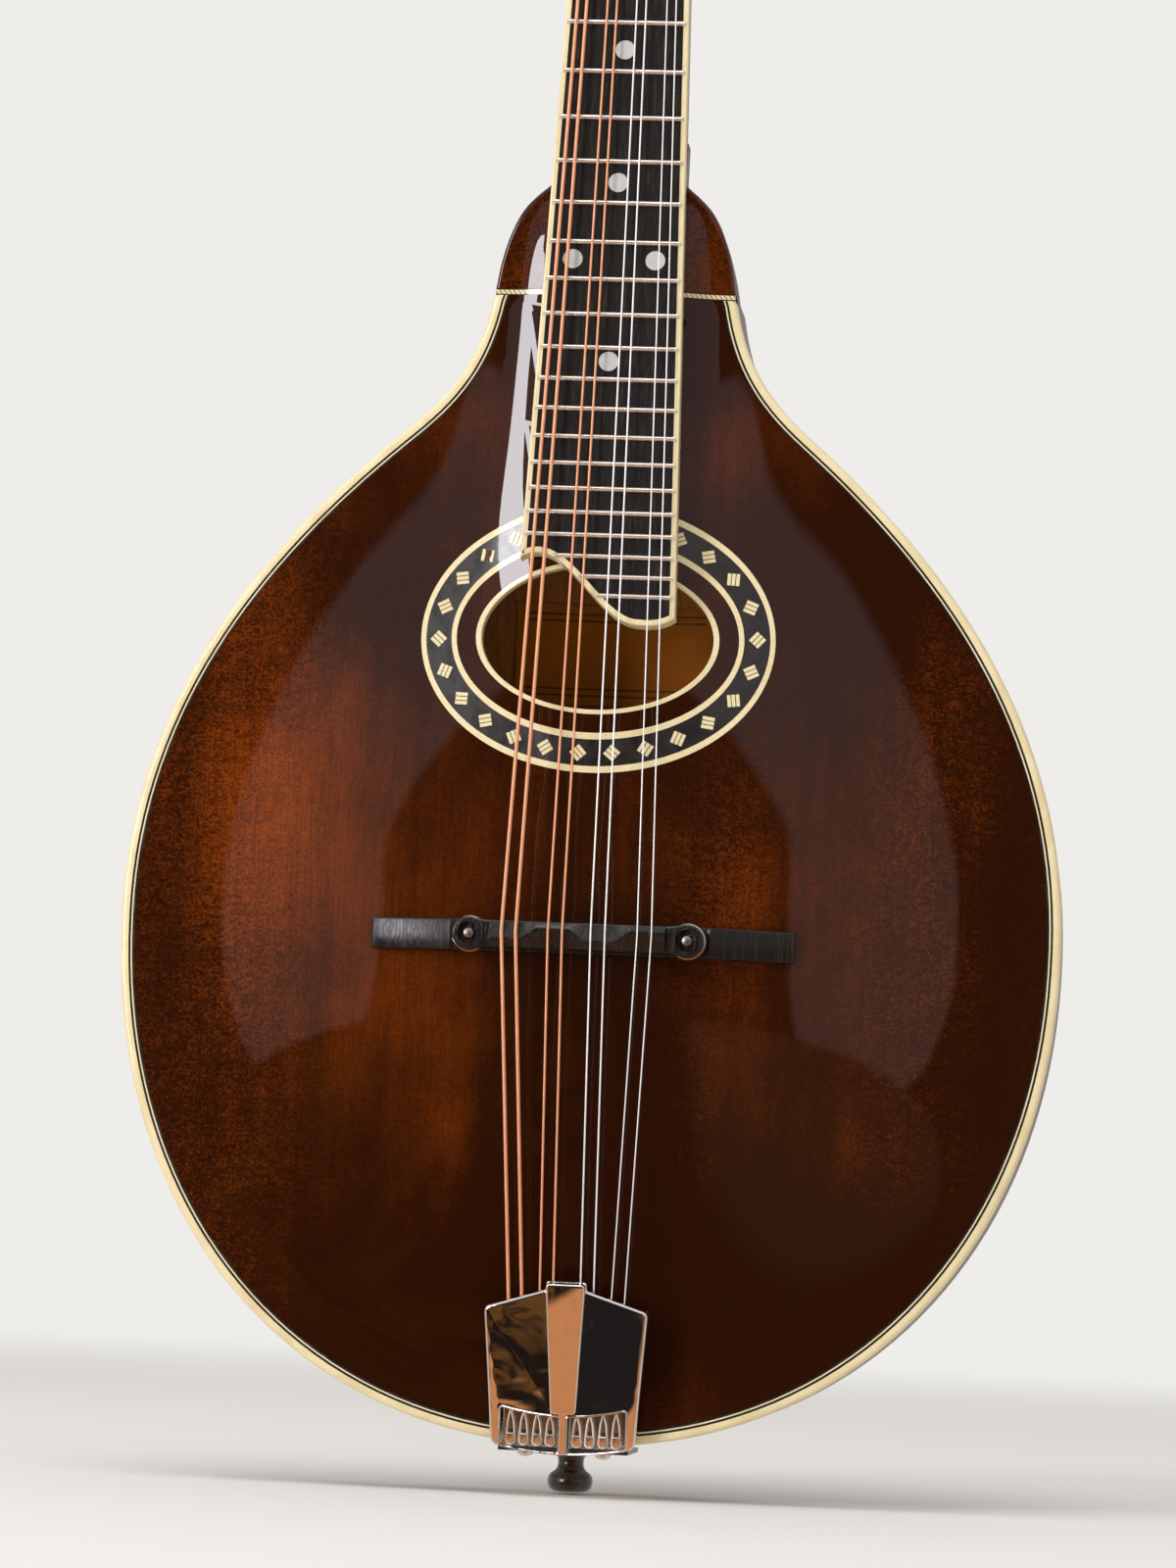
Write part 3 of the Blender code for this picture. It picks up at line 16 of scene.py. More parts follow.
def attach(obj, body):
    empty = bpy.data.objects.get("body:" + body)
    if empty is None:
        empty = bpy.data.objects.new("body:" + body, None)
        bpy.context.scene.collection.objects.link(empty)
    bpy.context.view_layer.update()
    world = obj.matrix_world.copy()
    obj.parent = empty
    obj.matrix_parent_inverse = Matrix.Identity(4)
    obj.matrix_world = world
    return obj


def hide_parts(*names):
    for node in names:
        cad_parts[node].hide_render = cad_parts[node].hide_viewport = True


MM = 0.001
WELD_DISTANCE = 0.0002
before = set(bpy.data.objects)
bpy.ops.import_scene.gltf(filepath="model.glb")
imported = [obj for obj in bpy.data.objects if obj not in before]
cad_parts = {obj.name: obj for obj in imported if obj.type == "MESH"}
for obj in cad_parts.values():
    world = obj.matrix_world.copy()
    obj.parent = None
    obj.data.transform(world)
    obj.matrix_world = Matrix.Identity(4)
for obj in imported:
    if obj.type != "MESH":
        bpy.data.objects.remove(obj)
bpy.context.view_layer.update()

# Body outline and arch; the top's arch is shaped until its reflections match the photo
TAIL_Z = 13.0
WIDEST_Z = 151.7
JOINT_Z = 327.4
HALF_WIDTH = 128.0
LOWER_BOUT_POWER = 2.144
SHOULDER = np.array((55.1, 288.0))
SHOULDER_LEAN = np.array((-math.cos(math.radians(40.7)), math.sin(math.radians(40.7))))
NECK_END = np.array((33.0, 327.4))
NECK_LEAN = np.array((math.sin(math.radians(8.8)), -math.cos(math.radians(8.8))))
RIM_FRONT_Y = -20.0
RIM_BACK_Y = 20.0
PLATE_THICKNESS = 4.2
TOP_ARCH = 16.2
BACK_ARCH = 14.0
ARCH_CENTRE_Z = 150.0
BINDING_WIDTH = 2.3
BINDING_DEPTH = 5.0
PURFLING_INSETS = (2.3, 2.92, 3.32, 3.95)
TOP_EDGE_INSET = PURFLING_INSETS[3]
STRIP_LOW_Z = JOINT_Z - 2.1
STRIP_HIGH_Z = JOINT_Z - 0.4
HOLE_CENTRE_Z = 230.4
LABEL_CENTRE_Z = 231.5

# Neck, head and tailpiece frames
TWELFTH_FRET_Z = 328.7
BOARD_Y = -29.0
SCALE_LENGTH = 352.4
NUT_Z = SCALE_LENGTH / 2
NUT_HALF_WIDTH = 14.3
BOARD_THICKNESS = 5.5
BOARD_EDGE = 1.5
NECK_TILT = math.radians(5.5)
HEAD_TILT = math.radians(14.0)
HEAD_THICKNESS = 14.0
VENEER_FRONT_Y = -1.8
POST_X = 19.5
POST_ZS = (36.0, 59.0, 82.0, 105.0)
GEAR_MIDDLE_Y = 18.3
WORM_OFFSET_Z = 5.5
BRIDGE_Z = 148.4
BRIDGE_REACH = 57.2
WHEEL_X = 29.2
SADDLE_TOP_HEIGHT = 29.8
STRING_SLOPE = math.atan2(24.4, 130.9)
TAILPIECE_Z = 11.8
TAIL_TILT_DROP = 5.7 * math.tan(STRING_SLOPE)

NECK = Matrix.Translation((0, BOARD_Y, TWELFTH_FRET_Z)) @ Matrix.Rotation(-NECK_TILT, 4, "X")
HEAD = (NECK @ Matrix.Translation((0, 5.8, NUT_Z + 4.4))
        @ Matrix.Rotation(-HEAD_TILT, 4, "X"))
TAIL = (Matrix.Translation((0, RIM_FRONT_Y - 6.2 + TAIL_TILT_DROP, TAILPIECE_Z))
        @ Matrix.Rotation(STRING_SLOPE, 4, "X"))

# Strings, from the outside of each side to the middle
STRING_NAMES = ("g_outer", "g_inner", "d_outer", "d_inner",
                "e_outer", "e_inner", "a_outer", "a_inner")
STRING_RADII = (0.5, 0.5, 0.33, 0.33, 0.18, 0.18, 0.23, 0.23)
NUT_SPREAD = (11.0, 9.0, 4.4, 2.3)
SADDLE_SPREAD = (20.0, 16.2, 7.6, 3.8)
HOOK_SPREAD = (14.2, 10.7, 7.1, 3.6)


# Materials

class Nodes:
    """Short calls for building a node tree."""

    def __init__(self, tree):
        self.tree = tree

    def add(self, kind, inputs=None, **settings):
        node = self.tree.nodes.new("ShaderNode" + kind)
        for key, value in settings.items():
            setattr(node, key, value)
        for socket, value in (inputs or {}).items():
            self.put(node.inputs[socket], value)
        return node

    def put(self, socket, value):
        if isinstance(value, bpy.types.NodeSocket):
            self.tree.links.new(value, socket)
        elif socket.type == "RGBA":
            socket.default_value = (*value[:3], 1.0)
        else:
            socket.default_value = value

    def step(self, value, low, high, to_low=0.0, to_high=1.0):
        """A smooth step from low to high."""
        inputs = {"Value": value, "From Min": low, "From Max": high,
                  "To Min": to_low, "To Max": to_high}
        return self.add("MapRange", inputs,
                        interpolation_type="SMOOTHSTEP").outputs["Result"]

    def calculate(self, operation, first, second=0.0, third=0.0):
        node = self.add("Math", {0: first, 1: second, 2: third}, operation=operation)
        return node.outputs["Value"]

    def times(self, first, second):
        return self.calculate("MULTIPLY", first, second)

    def size(self, value):
        return self.calculate("ABSOLUTE", value)

    def total(self, *values):
        result = values[0]
        for value in values[1:]:
            result = self.calculate("ADD", result, value)
        return result

    def mix(self, factor, first, second):
        node = self.add("Mix", data_type="RGBA")
        self.put(node.inputs["Factor"], factor)
        self.put(node.inputs[6], first)
        self.put(node.inputs[7], second)
        return node.outputs[2]


class Paint(Nodes):
    """A material; its textures are placed by the real instrument's millimetres."""

    def __init__(self, name, slot, colour, **values):
        self.slot = slot
        self.colour = colour
        self.material = bpy.data.materials.new(name)
        self.material.use_nodes = True
        super().__init__(self.material.node_tree)
        self.shader = self.tree.nodes["Principled BSDF"]
        self.place = self.add("TexCoord").outputs["Object"]
        for socket, value in values.items():
            self.put(self.shader.inputs[socket.replace("_", " ")], value)

    def scaled(self, x, y, z, turn=(0.0, 0.0, 0.0)):
        """The place divided by these sizes in millimetres."""
        scale = (1 / (x * MM), 1 / (y * MM), 1 / (z * MM))
        inputs = {"Vector": self.place, "Scale": scale, "Rotation": turn}
        return self.add("Mapping", inputs).outputs["Vector"]

    def noise(self, x, y, z, detail=3.0, roughness=0.55, distortion=0.0):
        """Noise from 0 to 1 whose blotches have about these sizes in millimetres."""
        inputs = {"Vector": self.scaled(x, y, z), "Scale": 1.0, "Detail": detail,
                  "Roughness": roughness, "Distortion": distortion}
        return self.add("TexNoise", inputs).outputs["Fac"]

    def wave(self, vector, direction, scale, distortion):
        """Even bands from 0 to 1 across one direction."""
        inputs = {"Vector": vector, "Scale": scale, "Distortion": distortion}
        return self.add("TexWave", inputs, bands_direction=direction).outputs["Fac"]

    def axis(self, letter):
        """One coordinate of the place, in millimetres."""
        place = self.add("SeparateXYZ", {"Vector": self.place}).outputs[letter]
        return self.times(place, 1 / MM)

    def spot(self, x, z, reach_x, reach_z):
        """A soft patch seen from the front: 1 at its middle, 0 outside; all in millimetres."""
        inputs = {"Vector": self.place, "Location": (-x / reach_x, 0.0, -z / reach_z),
                  "Scale": (1 / (reach_x * MM), 0.0, 1 / (reach_z * MM))}
        vector = self.add("Mapping", inputs).outputs["Vector"]
        length = self.add("VectorMath", {0: vector}, operation="LENGTH").outputs["Value"]
        return self.step(length, 1.0, 0.0)

    def bump(self, height, depth_mm, *normal_sockets):
        """Raise the surface by up to depth_mm where height is 1."""
        inputs = {"Height": height, "Distance": depth_mm * MM, "Strength": 1.0}
        normal = self.add("Bump", inputs).outputs["Normal"]
        for name in normal_sockets or ("Normal",):
            self.put(self.shader.inputs[name], normal)

    def tint(self, colour, mask, low=0.0, high=1.0, amount=1.0, eased=True):
        """Blend another colour in where the mask goes from low to high."""
        factor = self.step(mask, low, high, 0.0, amount) if eased else mask
        self.colour = self.mix(factor, self.colour, colour)

    def finish(self, roughness=None):
        self.put(self.shader.inputs["Base Color"], self.colour)
        if roughness is not None:
            self.put(self.shader.inputs["Roughness"], roughness)
        return self


def lacquered_wood(name, slot, zones, figure):
    """Dark brown stained wood under deep gloss: fine grain and a curly, speckled figure."""
    paint = Paint(name, slot, (0.023, 0.005, 0.0011), Coat_Weight=1.0, Coat_Roughness=0.01,
                  Coat_IOR=1.5, Specular_IOR_Level=0.0, Roughness=0.7)
    grain = paint.noise(0.6, 0.6, 16.0, detail=4.0)
    bands = paint.noise(6.0, 6.0, 160.0, detail=2.0)
    flecks = paint.noise(1.9, 1.9, 1.5, detail=3.0, roughness=0.6, distortion=2.4)
    curl = paint.noise(7.0, 7.0, 1.7, detail=2.0, distortion=1.8)
    specks = paint.noise(0.7, 0.7, 0.9, detail=2.0)
    clouds = paint.noise(44.0, 50.0, 50.0, detail=3.0)
    mottle = paint.total(paint.step(flecks, 0.42, 0.58, -0.3, 0.3),
                         paint.step(curl, 0.4, 0.6, -0.1, 0.1),
                         paint.step(specks, 0.35, 0.65, -0.12, 0.12))
    light = paint.total(zones(paint), paint.times(clouds, 0.8), paint.times(bands, 0.3),
                        paint.times(mottle, figure(paint)))
    paint.tint((0.25, 0.045, 0.0035), light, 0.43, 1.55)
    paint.tint((0.018, 0.0042, 0.001), grain, 0.42, 0.72, 0.4)
    orange_peel = paint.noise(16.0, 16.0, 26.0, detail=0.0)
    paint.bump(orange_peel, 0.03, "Coat Normal")
    return paint.finish()


def top_zones(paint):
    """Where the top's colour is lighter or darker, as (x, z, reach x, reach z, change)."""
    spots = ((-90, 186, 42, 74, 0.5), (-58, 236, 36, 44, -0.05), (-40, 150, 40, 60, 0.17),
             (48, 158, 36, 58, 0.2), (82, 165, 26, 60, 0.14), (116, 150, 24, 90, -0.3),
             (98, 86, 34, 50, -0.15), (-44, 84, 40, 34, 0.12), (70, 50, 60, 50, -0.45),
             (-50, 50, 60, 44, -0.25), (-44, 118, 36, 36, 0.2), (0, 78, 40, 86, -0.7),
             (0, 320, 70, 60, -0.2), (62, 258, 50, 44, -0.25))
    return paint.total(*(paint.times(paint.spot(*place), change) for *place, change in spots))


def top_figure(paint):
    """The figure is strong near the rim and beside the strings, faint between them."""
    beside = paint.total(paint.spot(36, 168, 22, 56), paint.spot(24, 92, 20, 50))
    return paint.total(paint.step(paint.size(paint.axis("X")), 62, 98, 0.14, 0.55),
                       paint.times(beside, 0.35))


def even_zones(paint):
    return paint.step(paint.noise(60.0, 60.0, 120.0, detail=1.0), 0.3, 0.7, 0.0, 0.3)


def even_figure(paint):
    return paint.step(paint.noise(50.0, 50.0, 70.0, detail=1.0), 0.35, 0.65, 0.15, 0.45)


def ivory(name, slot, x_size, z_size):
    """Polished cream plastic with faint lengthwise lines."""
    paint = Paint(name, slot, (0.80, 0.68, 0.41), Coat_Weight=0.5, Coat_Roughness=0.06,
                  Specular_IOR_Level=0.3, Subsurface_Weight=0.05, Subsurface_Scale=0.001)
    lines = paint.noise(x_size, 0.5, z_size, detail=2.0)
    stain = paint.noise(12.0, 12.0, 18.0, detail=2.0)
    paint.tint((0.73, 0.59, 0.33), lines, 0.4, 0.7)
    paint.tint((0.62, 0.47, 0.24), stain, 0.45, 0.7, 0.3)
    paint.bump(lines, 0.01)
    return paint.finish(paint.step(stain, 0.3, 0.7, 0.2, 0.36))


def dark_wood(name, slot, roughness=0.36, coat=0.0, specular=0.4):
    """Ebony: near black with faint brown streaks along the strings."""
    paint = Paint(name, slot, (0.0085, 0.007, 0.0062), Coat_Weight=coat, Coat_Roughness=0.1,
                  Specular_IOR_Level=specular)
    streaks = paint.noise(0.7, 0.7, 26.0, detail=4.0)
    pores = paint.noise(0.22, 0.22, 2.4, detail=1.0)
    paint.tint((0.032, 0.020, 0.013), streaks, 0.5, 0.75)
    paint.tint((0.004, 0.0035, 0.003), pores, 0.6, 0.75, 0.5)
    paint.bump(paint.step(pores, 0.75, 0.5), 0.02)
    return paint.finish(paint.step(streaks, 0.3, 0.7, roughness - 0.05, roughness + 0.1))


def plain_black(name, slot):
    paint = Paint(name, slot, (0.007, 0.0055, 0.005), Coat_Weight=0.8, Coat_Roughness=0.05)
    haze = paint.noise(3.0, 3.0, 5.0)
    paint.tint((0.018, 0.013, 0.010), haze, eased=False)
    return paint.finish(paint.step(haze, 0.3, 0.7, 0.25, 0.4))


def metal(name, slot, colour, tarnish, roughness, metallic=1.0):
    """A metal with a thin uneven tarnish, hairline scratches and small dents."""
    paint = Paint(name, slot, colour, Metallic=metallic)
    haze = paint.noise(4.0, 4.0, 6.0, detail=4.0)
    hairlines = paint.noise(0.12, 0.12, 3.5, detail=2.0)
    paint.tint(tarnish, haze, 0.45, 0.75, 0.6)
    paint.bump(paint.total(haze, paint.times(hairlines, 0.4)), 0.004)
    return paint.finish(paint.total(paint.step(haze, 0.35, 0.75, roughness, roughness * 1.8),
                                    paint.step(hairlines, 0.55, 0.8, 0.0, 0.06)))


def chrome(name, slot, wave_mm):
    """Polished plating over a pressed sheet that is never quite flat."""
    paint = Paint(name, slot, (0.84, 0.83, 0.81), Metallic=1.0)
    haze = paint.noise(3.0, 3.0, 5.0, detail=3.0)
    paint.tint((0.74, 0.71, 0.66), haze, 0.45, 0.75, 0.5)
    paint.bump(paint.noise(13.0, 13.0, 10.0, detail=1.0, distortion=0.4), wave_mm)
    return paint.finish(paint.step(haze, 0.5, 0.8, 0.03, 0.08))


def wound_metal(name, slot):
    """A bronze winding: fine rings along the string, with painted shade in the grooves between
    them.
    """
    paint = Paint(name, slot, (0.72, 0.26, 0.12), Metallic=0.55)
    rings = paint.wave(paint.scaled(9.0, 9.0, 0.52), "Z", 0.58, 0.0)
    # Painted shade: the colour follows the ring bump, darker in the grooves and lighter on the
    # crowns
    paint.tint((0.98, 0.50, 0.29), rings, eased=False)
    paint.tint((0.98, 0.62, 0.42), paint.noise(0.8, 0.8, 7.0), 0.5, 0.75, 0.4)
    paint.bump(rings, 0.02)
    return paint.finish(0.36)


def paper_label():
    """Old paper with plain double border lines along its upper and lower edges; painted shade
    darkens its treble end.
    """
    paint = Paint("label_paper", "paper", (0.60, 0.17, 0.008), Specular_IOR_Level=0.2)
    fibres = paint.noise(0.6, 0.6, 0.6, detail=4.0)
    paint.tint((0.44, 0.115, 0.005), paint.noise(14.0, 14.0, 12.0, detail=2.0), eased=False)
    paint.tint((0.66, 0.23, 0.02), fibres, 0.4, 0.8, 0.25)
    # Painted shade: the paper darkens towards the treble end, from x = 4 mm to 27 mm
    paint.tint((0.19, 0.06, 0.004), paint.axis("X"), 4, 27, 0.6)
    from_middle = paint.size(paint.total(paint.axis("Z"), -LABEL_CENTRE_Z))
    within = paint.step(paint.size(paint.axis("X")), 25.9, 25.5)
    for line_place in (9.45, 11.3):
        distance = paint.size(paint.total(from_middle, -line_place))
        line = paint.times(paint.step(distance, 0.36, 0.18, 0.0, 0.75), within)
        paint.tint((0.05, 0.03, 0.01), line, eased=False)
    paint.bump(fibres, 0.03)
    return paint.finish(0.85)


def bare_wood(name, slot, light, dark, grain_z):
    """Unfinished wood inside the body."""
    paint = Paint(name, slot, light, Specular_IOR_Level=0.3)
    grain = paint.noise(1.2, 1.2, grain_z, detail=4.0)
    paint.tint(dark, grain, 0.35, 0.7)
    paint.tint(dark, paint.noise(20.0, 20.0, 30.0, detail=2.0), 0.4, 0.7, 0.4)
    paint.bump(grain, 0.05)
    return paint.finish(0.68)


def rope_strip():
    """Cream strip across the body with diagonal rope striping."""
    paint = Paint("rope_strip", "binding", (0.80, 0.68, 0.40), Coat_Weight=0.8,
                  Coat_Roughness=0.05)
    stripes = paint.wave(paint.scaled(1.0, 1.0, 1.0, (0.0, 0.65, 0.0)), "X", 0.30, 0.15)
    paint.tint((0.70, 0.56, 0.30), paint.noise(5.0, 5.0, 5.0), eased=False)
    paint.tint((0.16, 0.085, 0.03), stripes, 0.55, 0.8, 0.72)
    return paint.finish(0.3)


def pearl(name, slot):
    """Mother of pearl: soft grey with faint coloured clouds."""
    paint = Paint(name, slot, (0.42, 0.44, 0.43), Coat_Weight=1.0, Coat_Roughness=0.05,
                  Specular_IOR_Level=0.7)
    clouds = paint.noise(1.6, 1.6, 2.6, detail=3.0, distortion=1.2)
    bands = paint.noise(0.5, 0.5, 2.2, detail=2.0, distortion=0.8)
    paint.tint((0.62, 0.585, 0.55), clouds, eased=False)
    paint.tint((0.50, 0.60, 0.58), bands, 0.5, 0.75, 0.5)
    return paint.finish(paint.step(clouds, 0.3, 0.7, 0.22, 0.4))


TOP_LACQUER = lacquered_wood("top_lacquer", "top_wood", top_zones, top_figure)
BACK_LACQUER = lacquered_wood("back_lacquer", "back_wood", even_zones, even_figure)
RIB_LACQUER = lacquered_wood("rib_lacquer", "rib_wood", even_zones, even_figure)
NECK_LACQUER = lacquered_wood("neck_lacquer", "neck_wood", even_zones, even_figure)
BINDING_IVORY = ivory("binding_ivory", "binding", 9.0, 9.0)
BOARD_IVORY = ivory("board_ivory", "binding", 0.5, 30.0)
INLAY_IVORY = ivory("inlay_ivory", "inlay", 0.6, 0.6)
ROPE_STRIP = rope_strip()
PURFLING_BLACK = plain_black("purfling_black", "inlay")
DIAMOND_BROWN = bare_wood("diamond_brown", "inlay", (0.10, 0.045, 0.015), (0.05, 0.02, 0.008), 1.0)
EBONY = dark_wood("ebony", "ebony", 0.42, 0.0, 0.18)
BRIDGE_EBONY = dark_wood("bridge_ebony", "ebony", 0.24, 0.0, 0.36)
VENEER_EBONY = dark_wood("veneer_ebony", "ebony", 0.4, 0.35, 0.15)
PIN_EBONY = dark_wood("pin_ebony", "end_pin_wood", 0.24, 0.6)
INNER_WOOD = bare_wood("inner_wood", "inner_wood", (0.36, 0.19, 0.06), (0.24, 0.115, 0.03), 40.0)
INNER_BACK = bare_wood("inner_back", "back_wood", (0.56, 0.195, 0.030), (0.38, 0.12, 0.018), 40.0)
LABEL_PAPER = paper_label()
BONE = ivory("bone_ivory", "bone", 4.0, 4.0)
DOT_PEARL = pearl("dot_pearl", "inlay")
BUTTON_PEARL = pearl("button_pearl", "bone")
NICKEL = metal("nickel", "nickel", (0.80, 0.78, 0.74), (0.62, 0.57, 0.49), 0.11)
COVER_CHROME = chrome("cover_chrome", "nickel", 0.16)
STRIP_CHROME = chrome("strip_chrome", "nickel", 0.02)
FRET_NICKEL = metal("fret_nickel", "nickel", (0.88, 0.80, 0.72), (0.64, 0.50, 0.38), 0.2, 0.75)
STEEL = metal("steel", "steel", (0.96, 0.95, 0.93), (0.84, 0.81, 0.76), 0.26, 0.35)
POST_STEEL = metal("post_steel", "brass", (0.30, 0.27, 0.24), (0.20, 0.17, 0.14), 0.3)
BRASS = metal("brass", "brass", (0.72, 0.52, 0.20), (0.38, 0.25, 0.10), 0.22)
BRONZE = wound_metal("bronze_winding", "bronze")


# Mesh helpers

def finished(points, faces):
    """A welded mesh with its normals outwards."""
    mesh = bpy.data.meshes.new("shape")
    mesh.from_pydata(np.asarray(points, float).reshape(-1, 3).tolist(), [], faces)
    builder = bmesh.new()
    builder.from_mesh(mesh)
    bmesh.ops.remove_doubles(builder, verts=builder.verts, dist=WELD_DISTANCE)
    bmesh.ops.recalc_face_normals(builder, faces=builder.faces)
    builder.to_mesh(mesh)
    builder.free()
    return mesh


def surface(rows, wrap_rows=False, wrap_columns=False, caps=False):
    """Quads over a grid of points; caps close the first and the last row."""
    rows = np.asarray(rows, float)
    count, width = rows.shape[:2]
    index = np.arange(count * width).reshape(count, width)
    following = np.roll(index, -1, 0)
    if not wrap_rows:
        following = following[:-1]
    current = index[:len(following)]
    right = np.roll(current, -1, 1)
    far_right = np.roll(following, -1, 1)
    quads = np.stack((current, right, far_right, following), -1)
    if not wrap_columns:
        quads = quads[:, :-1]
    faces = quads.reshape(-1, 4).tolist()
    if caps:
        faces += [index[0].tolist(), index[-1].tolist()]
    return finished(rows, faces)


def lofted(rows):
    """A closed skin over a row of rings."""
    return surface(rows, wrap_columns=True, caps=True)


def merged(meshes):
    """Several separate shapes in one mesh."""
    builder = bmesh.new()
    for mesh in meshes:
        builder.from_mesh(mesh)
    result = bpy.data.meshes.new("merged")
    builder.to_mesh(result)
    builder.free()
    return result


def moved(mesh, matrix):
    mesh.transform(matrix)
    return mesh


def shifted(mesh, x=0.0, y=0.0, z=0.0):
    return moved(mesh, Matrix.Translation((x, y, z)))


def mirrored_mesh(mesh):
    """A copy of a mesh on the other side of the middle."""
    copy = mesh.copy()
    copy.transform(Matrix.Scale(-1, 4, (1, 0, 0)))
    copy.flip_normals()
    return copy


def combined(mesh, others, operation):
    """Cut or join other meshes to a mesh."""
    target = bpy.data.objects.new("target", mesh)
    bpy.context.scene.collection.objects.link(target)
    helpers = []
    for other in others:
        helper = bpy.data.objects.new("helper", other)
        bpy.context.scene.collection.objects.link(helper)
        helpers.append(helper)
        modifier = target.modifiers.new("combine", "BOOLEAN")
        modifier.operation = operation
        modifier.solver = "EXACT"
        modifier.object = helper
    bpy.context.view_layer.update()
    evaluated = target.evaluated_get(bpy.context.evaluated_depsgraph_get())
    result = bpy.data.meshes.new_from_object(evaluated)
    for obj in [target] + helpers:
        bpy.data.objects.remove(obj, do_unlink=True)
    return result


def cut(mesh, *others):
    return combined(mesh, others, "DIFFERENCE")


def join(mesh, *others):
    return combined(mesh, others, "UNION")


def piece(name, mesh, paint, body="root", replaces=(), angle=35.0):
    """One visible piece of the instrument, which moves with a CAD body."""
    obj = bpy.data.objects.new(name, mesh)
    bpy.context.scene.collection.objects.link(obj)
    mesh.name = name
    mesh.transform(Matrix.Scale(MM, 4))
    mesh.materials.clear()
    mesh.materials.append(paint.material)
    if not mesh.has_custom_normals:
        mesh.shade_smooth()
        mesh.set_sharp_from_angle(angle=math.radians(angle))
    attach(obj, body)
    if replaces:
        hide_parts(*replaces)
    return obj


# Flat paths

def offset(points, distance, closed=False):
    """Move a flat path to its left by a distance, with mitred corners."""
    points = np.asarray(points, float)
    if closed:
        after = np.roll(points, -1, 0) - points
        before = np.roll(after, 1, 0)
    else:
        steps = np.diff(points, axis=0)
        after = np.concatenate((steps, steps[-1:]))
        before = np.concatenate((steps[:1], steps))
    normals = []
    for edge in (before, after):
        normal = np.stack((-edge[:, 1], edge[:, 0]), 1)
        normals.append(normal / np.linalg.norm(normal, axis=1, keepdims=True))
    mitre = normals[0] + normals[1]
    mitre /= np.linalg.norm(mitre, axis=1, keepdims=True)
    reach = distance / np.sum(mitre * normals[0], axis=1)
    return points + mitre * reach[:, None]


def mirrored(points):
    """The same points on the other side of the middle, in the opposite order."""
    return np.asarray(points)[::-1] * (-1.0, 1.0)


def bezier(p0, p1, p2, p3, count):
    """Points along a cubic curve, without its first point."""
    t = np.linspace(0.0, 1.0, count + 1)[1:, None]
    s = 1.0 - t
    p0, p1, p2, p3 = (np.asarray(p, float) for p in (p0, p1, p2, p3))
    return s ** 3 * p0 + 3 * s * s * t * p1 + 3 * s * t * t * p2 + t ** 3 * p3


def rounded(corners, radius, steps=5):
    """A closed flat outline with its corners rounded; radius may be one per corner."""
    corners = np.asarray(corners, float)
    radii = np.broadcast_to(radius, len(corners))
    outline = []
    for i, corner in enumerate(corners):
        before = corners[i - 1] - corner
        after = corners[(i + 1) % len(corners)] - corner
        before /= np.linalg.norm(before)
        after /= np.linalg.norm(after)
        half = math.acos(max(-1.0, min(1.0, float(before @ after)))) / 2
        if radii[i] == 0.0 or half > math.radians(88):
            outline.append(corner)
            continue
        reach = radii[i] / math.tan(half)
        start = corner + before * reach
        end = corner + after * reach
        middle = corner + (before + after) / np.linalg.norm(before + after) * (
            radii[i] / math.sin(half))
        first = math.atan2(*(start - middle)[::-1])
        turn = math.atan2(*(end - middle)[::-1]) - first
        turn = (turn + math.pi) % (2 * math.pi) - math.pi
        for k in range(steps + 1):
            angle = first + turn * k / steps
            outline.append(middle + radii[i] * np.array((math.cos(angle), math.sin(angle))))
    return np.array(outline)


def anticlockwise(outline):
    outline = np.asarray(outline, float)
    x, z = outline.T
    area = np.sum(x * np.roll(z, -1) - np.roll(x, -1) * z)
    return outline if area > 0 else outline[::-1]


def standing(path, y):
    """The points of a flat (x, z) path at this y, or at one y for each point."""
    x, z = np.asarray(path, float).T
    return np.stack(np.broadcast_arrays(x, y, z), 1)


def rectangle(low_x, high_x, low_z, high_z):
    return [(low_x, low_z), (high_x, low_z), (high_x, high_z), (low_x, high_z)]


# Solid shapes

def slab(outline, front, back, front_round=0.0, back_round=0.0, steps=3):
    """A flat (x, z) outline with a thickness along Y; its edges may be rounded."""
    outline = anticlockwise(outline)
    rows = []
    for face, radius, sign in ((front, front_round, 1), (back, back_round, -1)):
        angles = np.linspace(0.0, math.pi / 2, steps + 1) if radius else (math.pi / 2,)
        for angle in angles[::sign]:
            ring = offset(outline, radius * (1 - math.sin(angle)), closed=True)
            rows.append(standing(ring, face + sign * radius * (1 - math.cos(angle))))
    return lofted(rows)


def full_turn(steps):
    return np.linspace(0.0, 2 * math.pi, steps, endpoint=False)


def turned(profile, steps=32, axis="Z", hollow=False):
    """A turned shape from (radius, distance) pairs; a hollow one has a closed profile."""
    angles = full_turn(steps)
    rows = []
    for radius, along in profile:
        u = radius * np.cos(angles)
        v = radius * np.sin(angles)
        w = np.full(steps, along)
        rows.append(np.stack({"Z": (u, v, w), "Y": (u, w, v), "X": (w, u, v)}[axis], 1))
    return surface(rows, wrap_rows=hollow, wrap_columns=True)


def rod(radius, start, end, steps=24, axis="Y"):
    """A cylinder along one axis."""
    return turned([(0.0, start), (radius, start), (radius, end), (0.0, end)], steps, axis)


def box(low, high):
    """A plain box between two corners."""
    return slab(rectangle(low[0], high[0], low[2], high[2]), low[1], high[1])


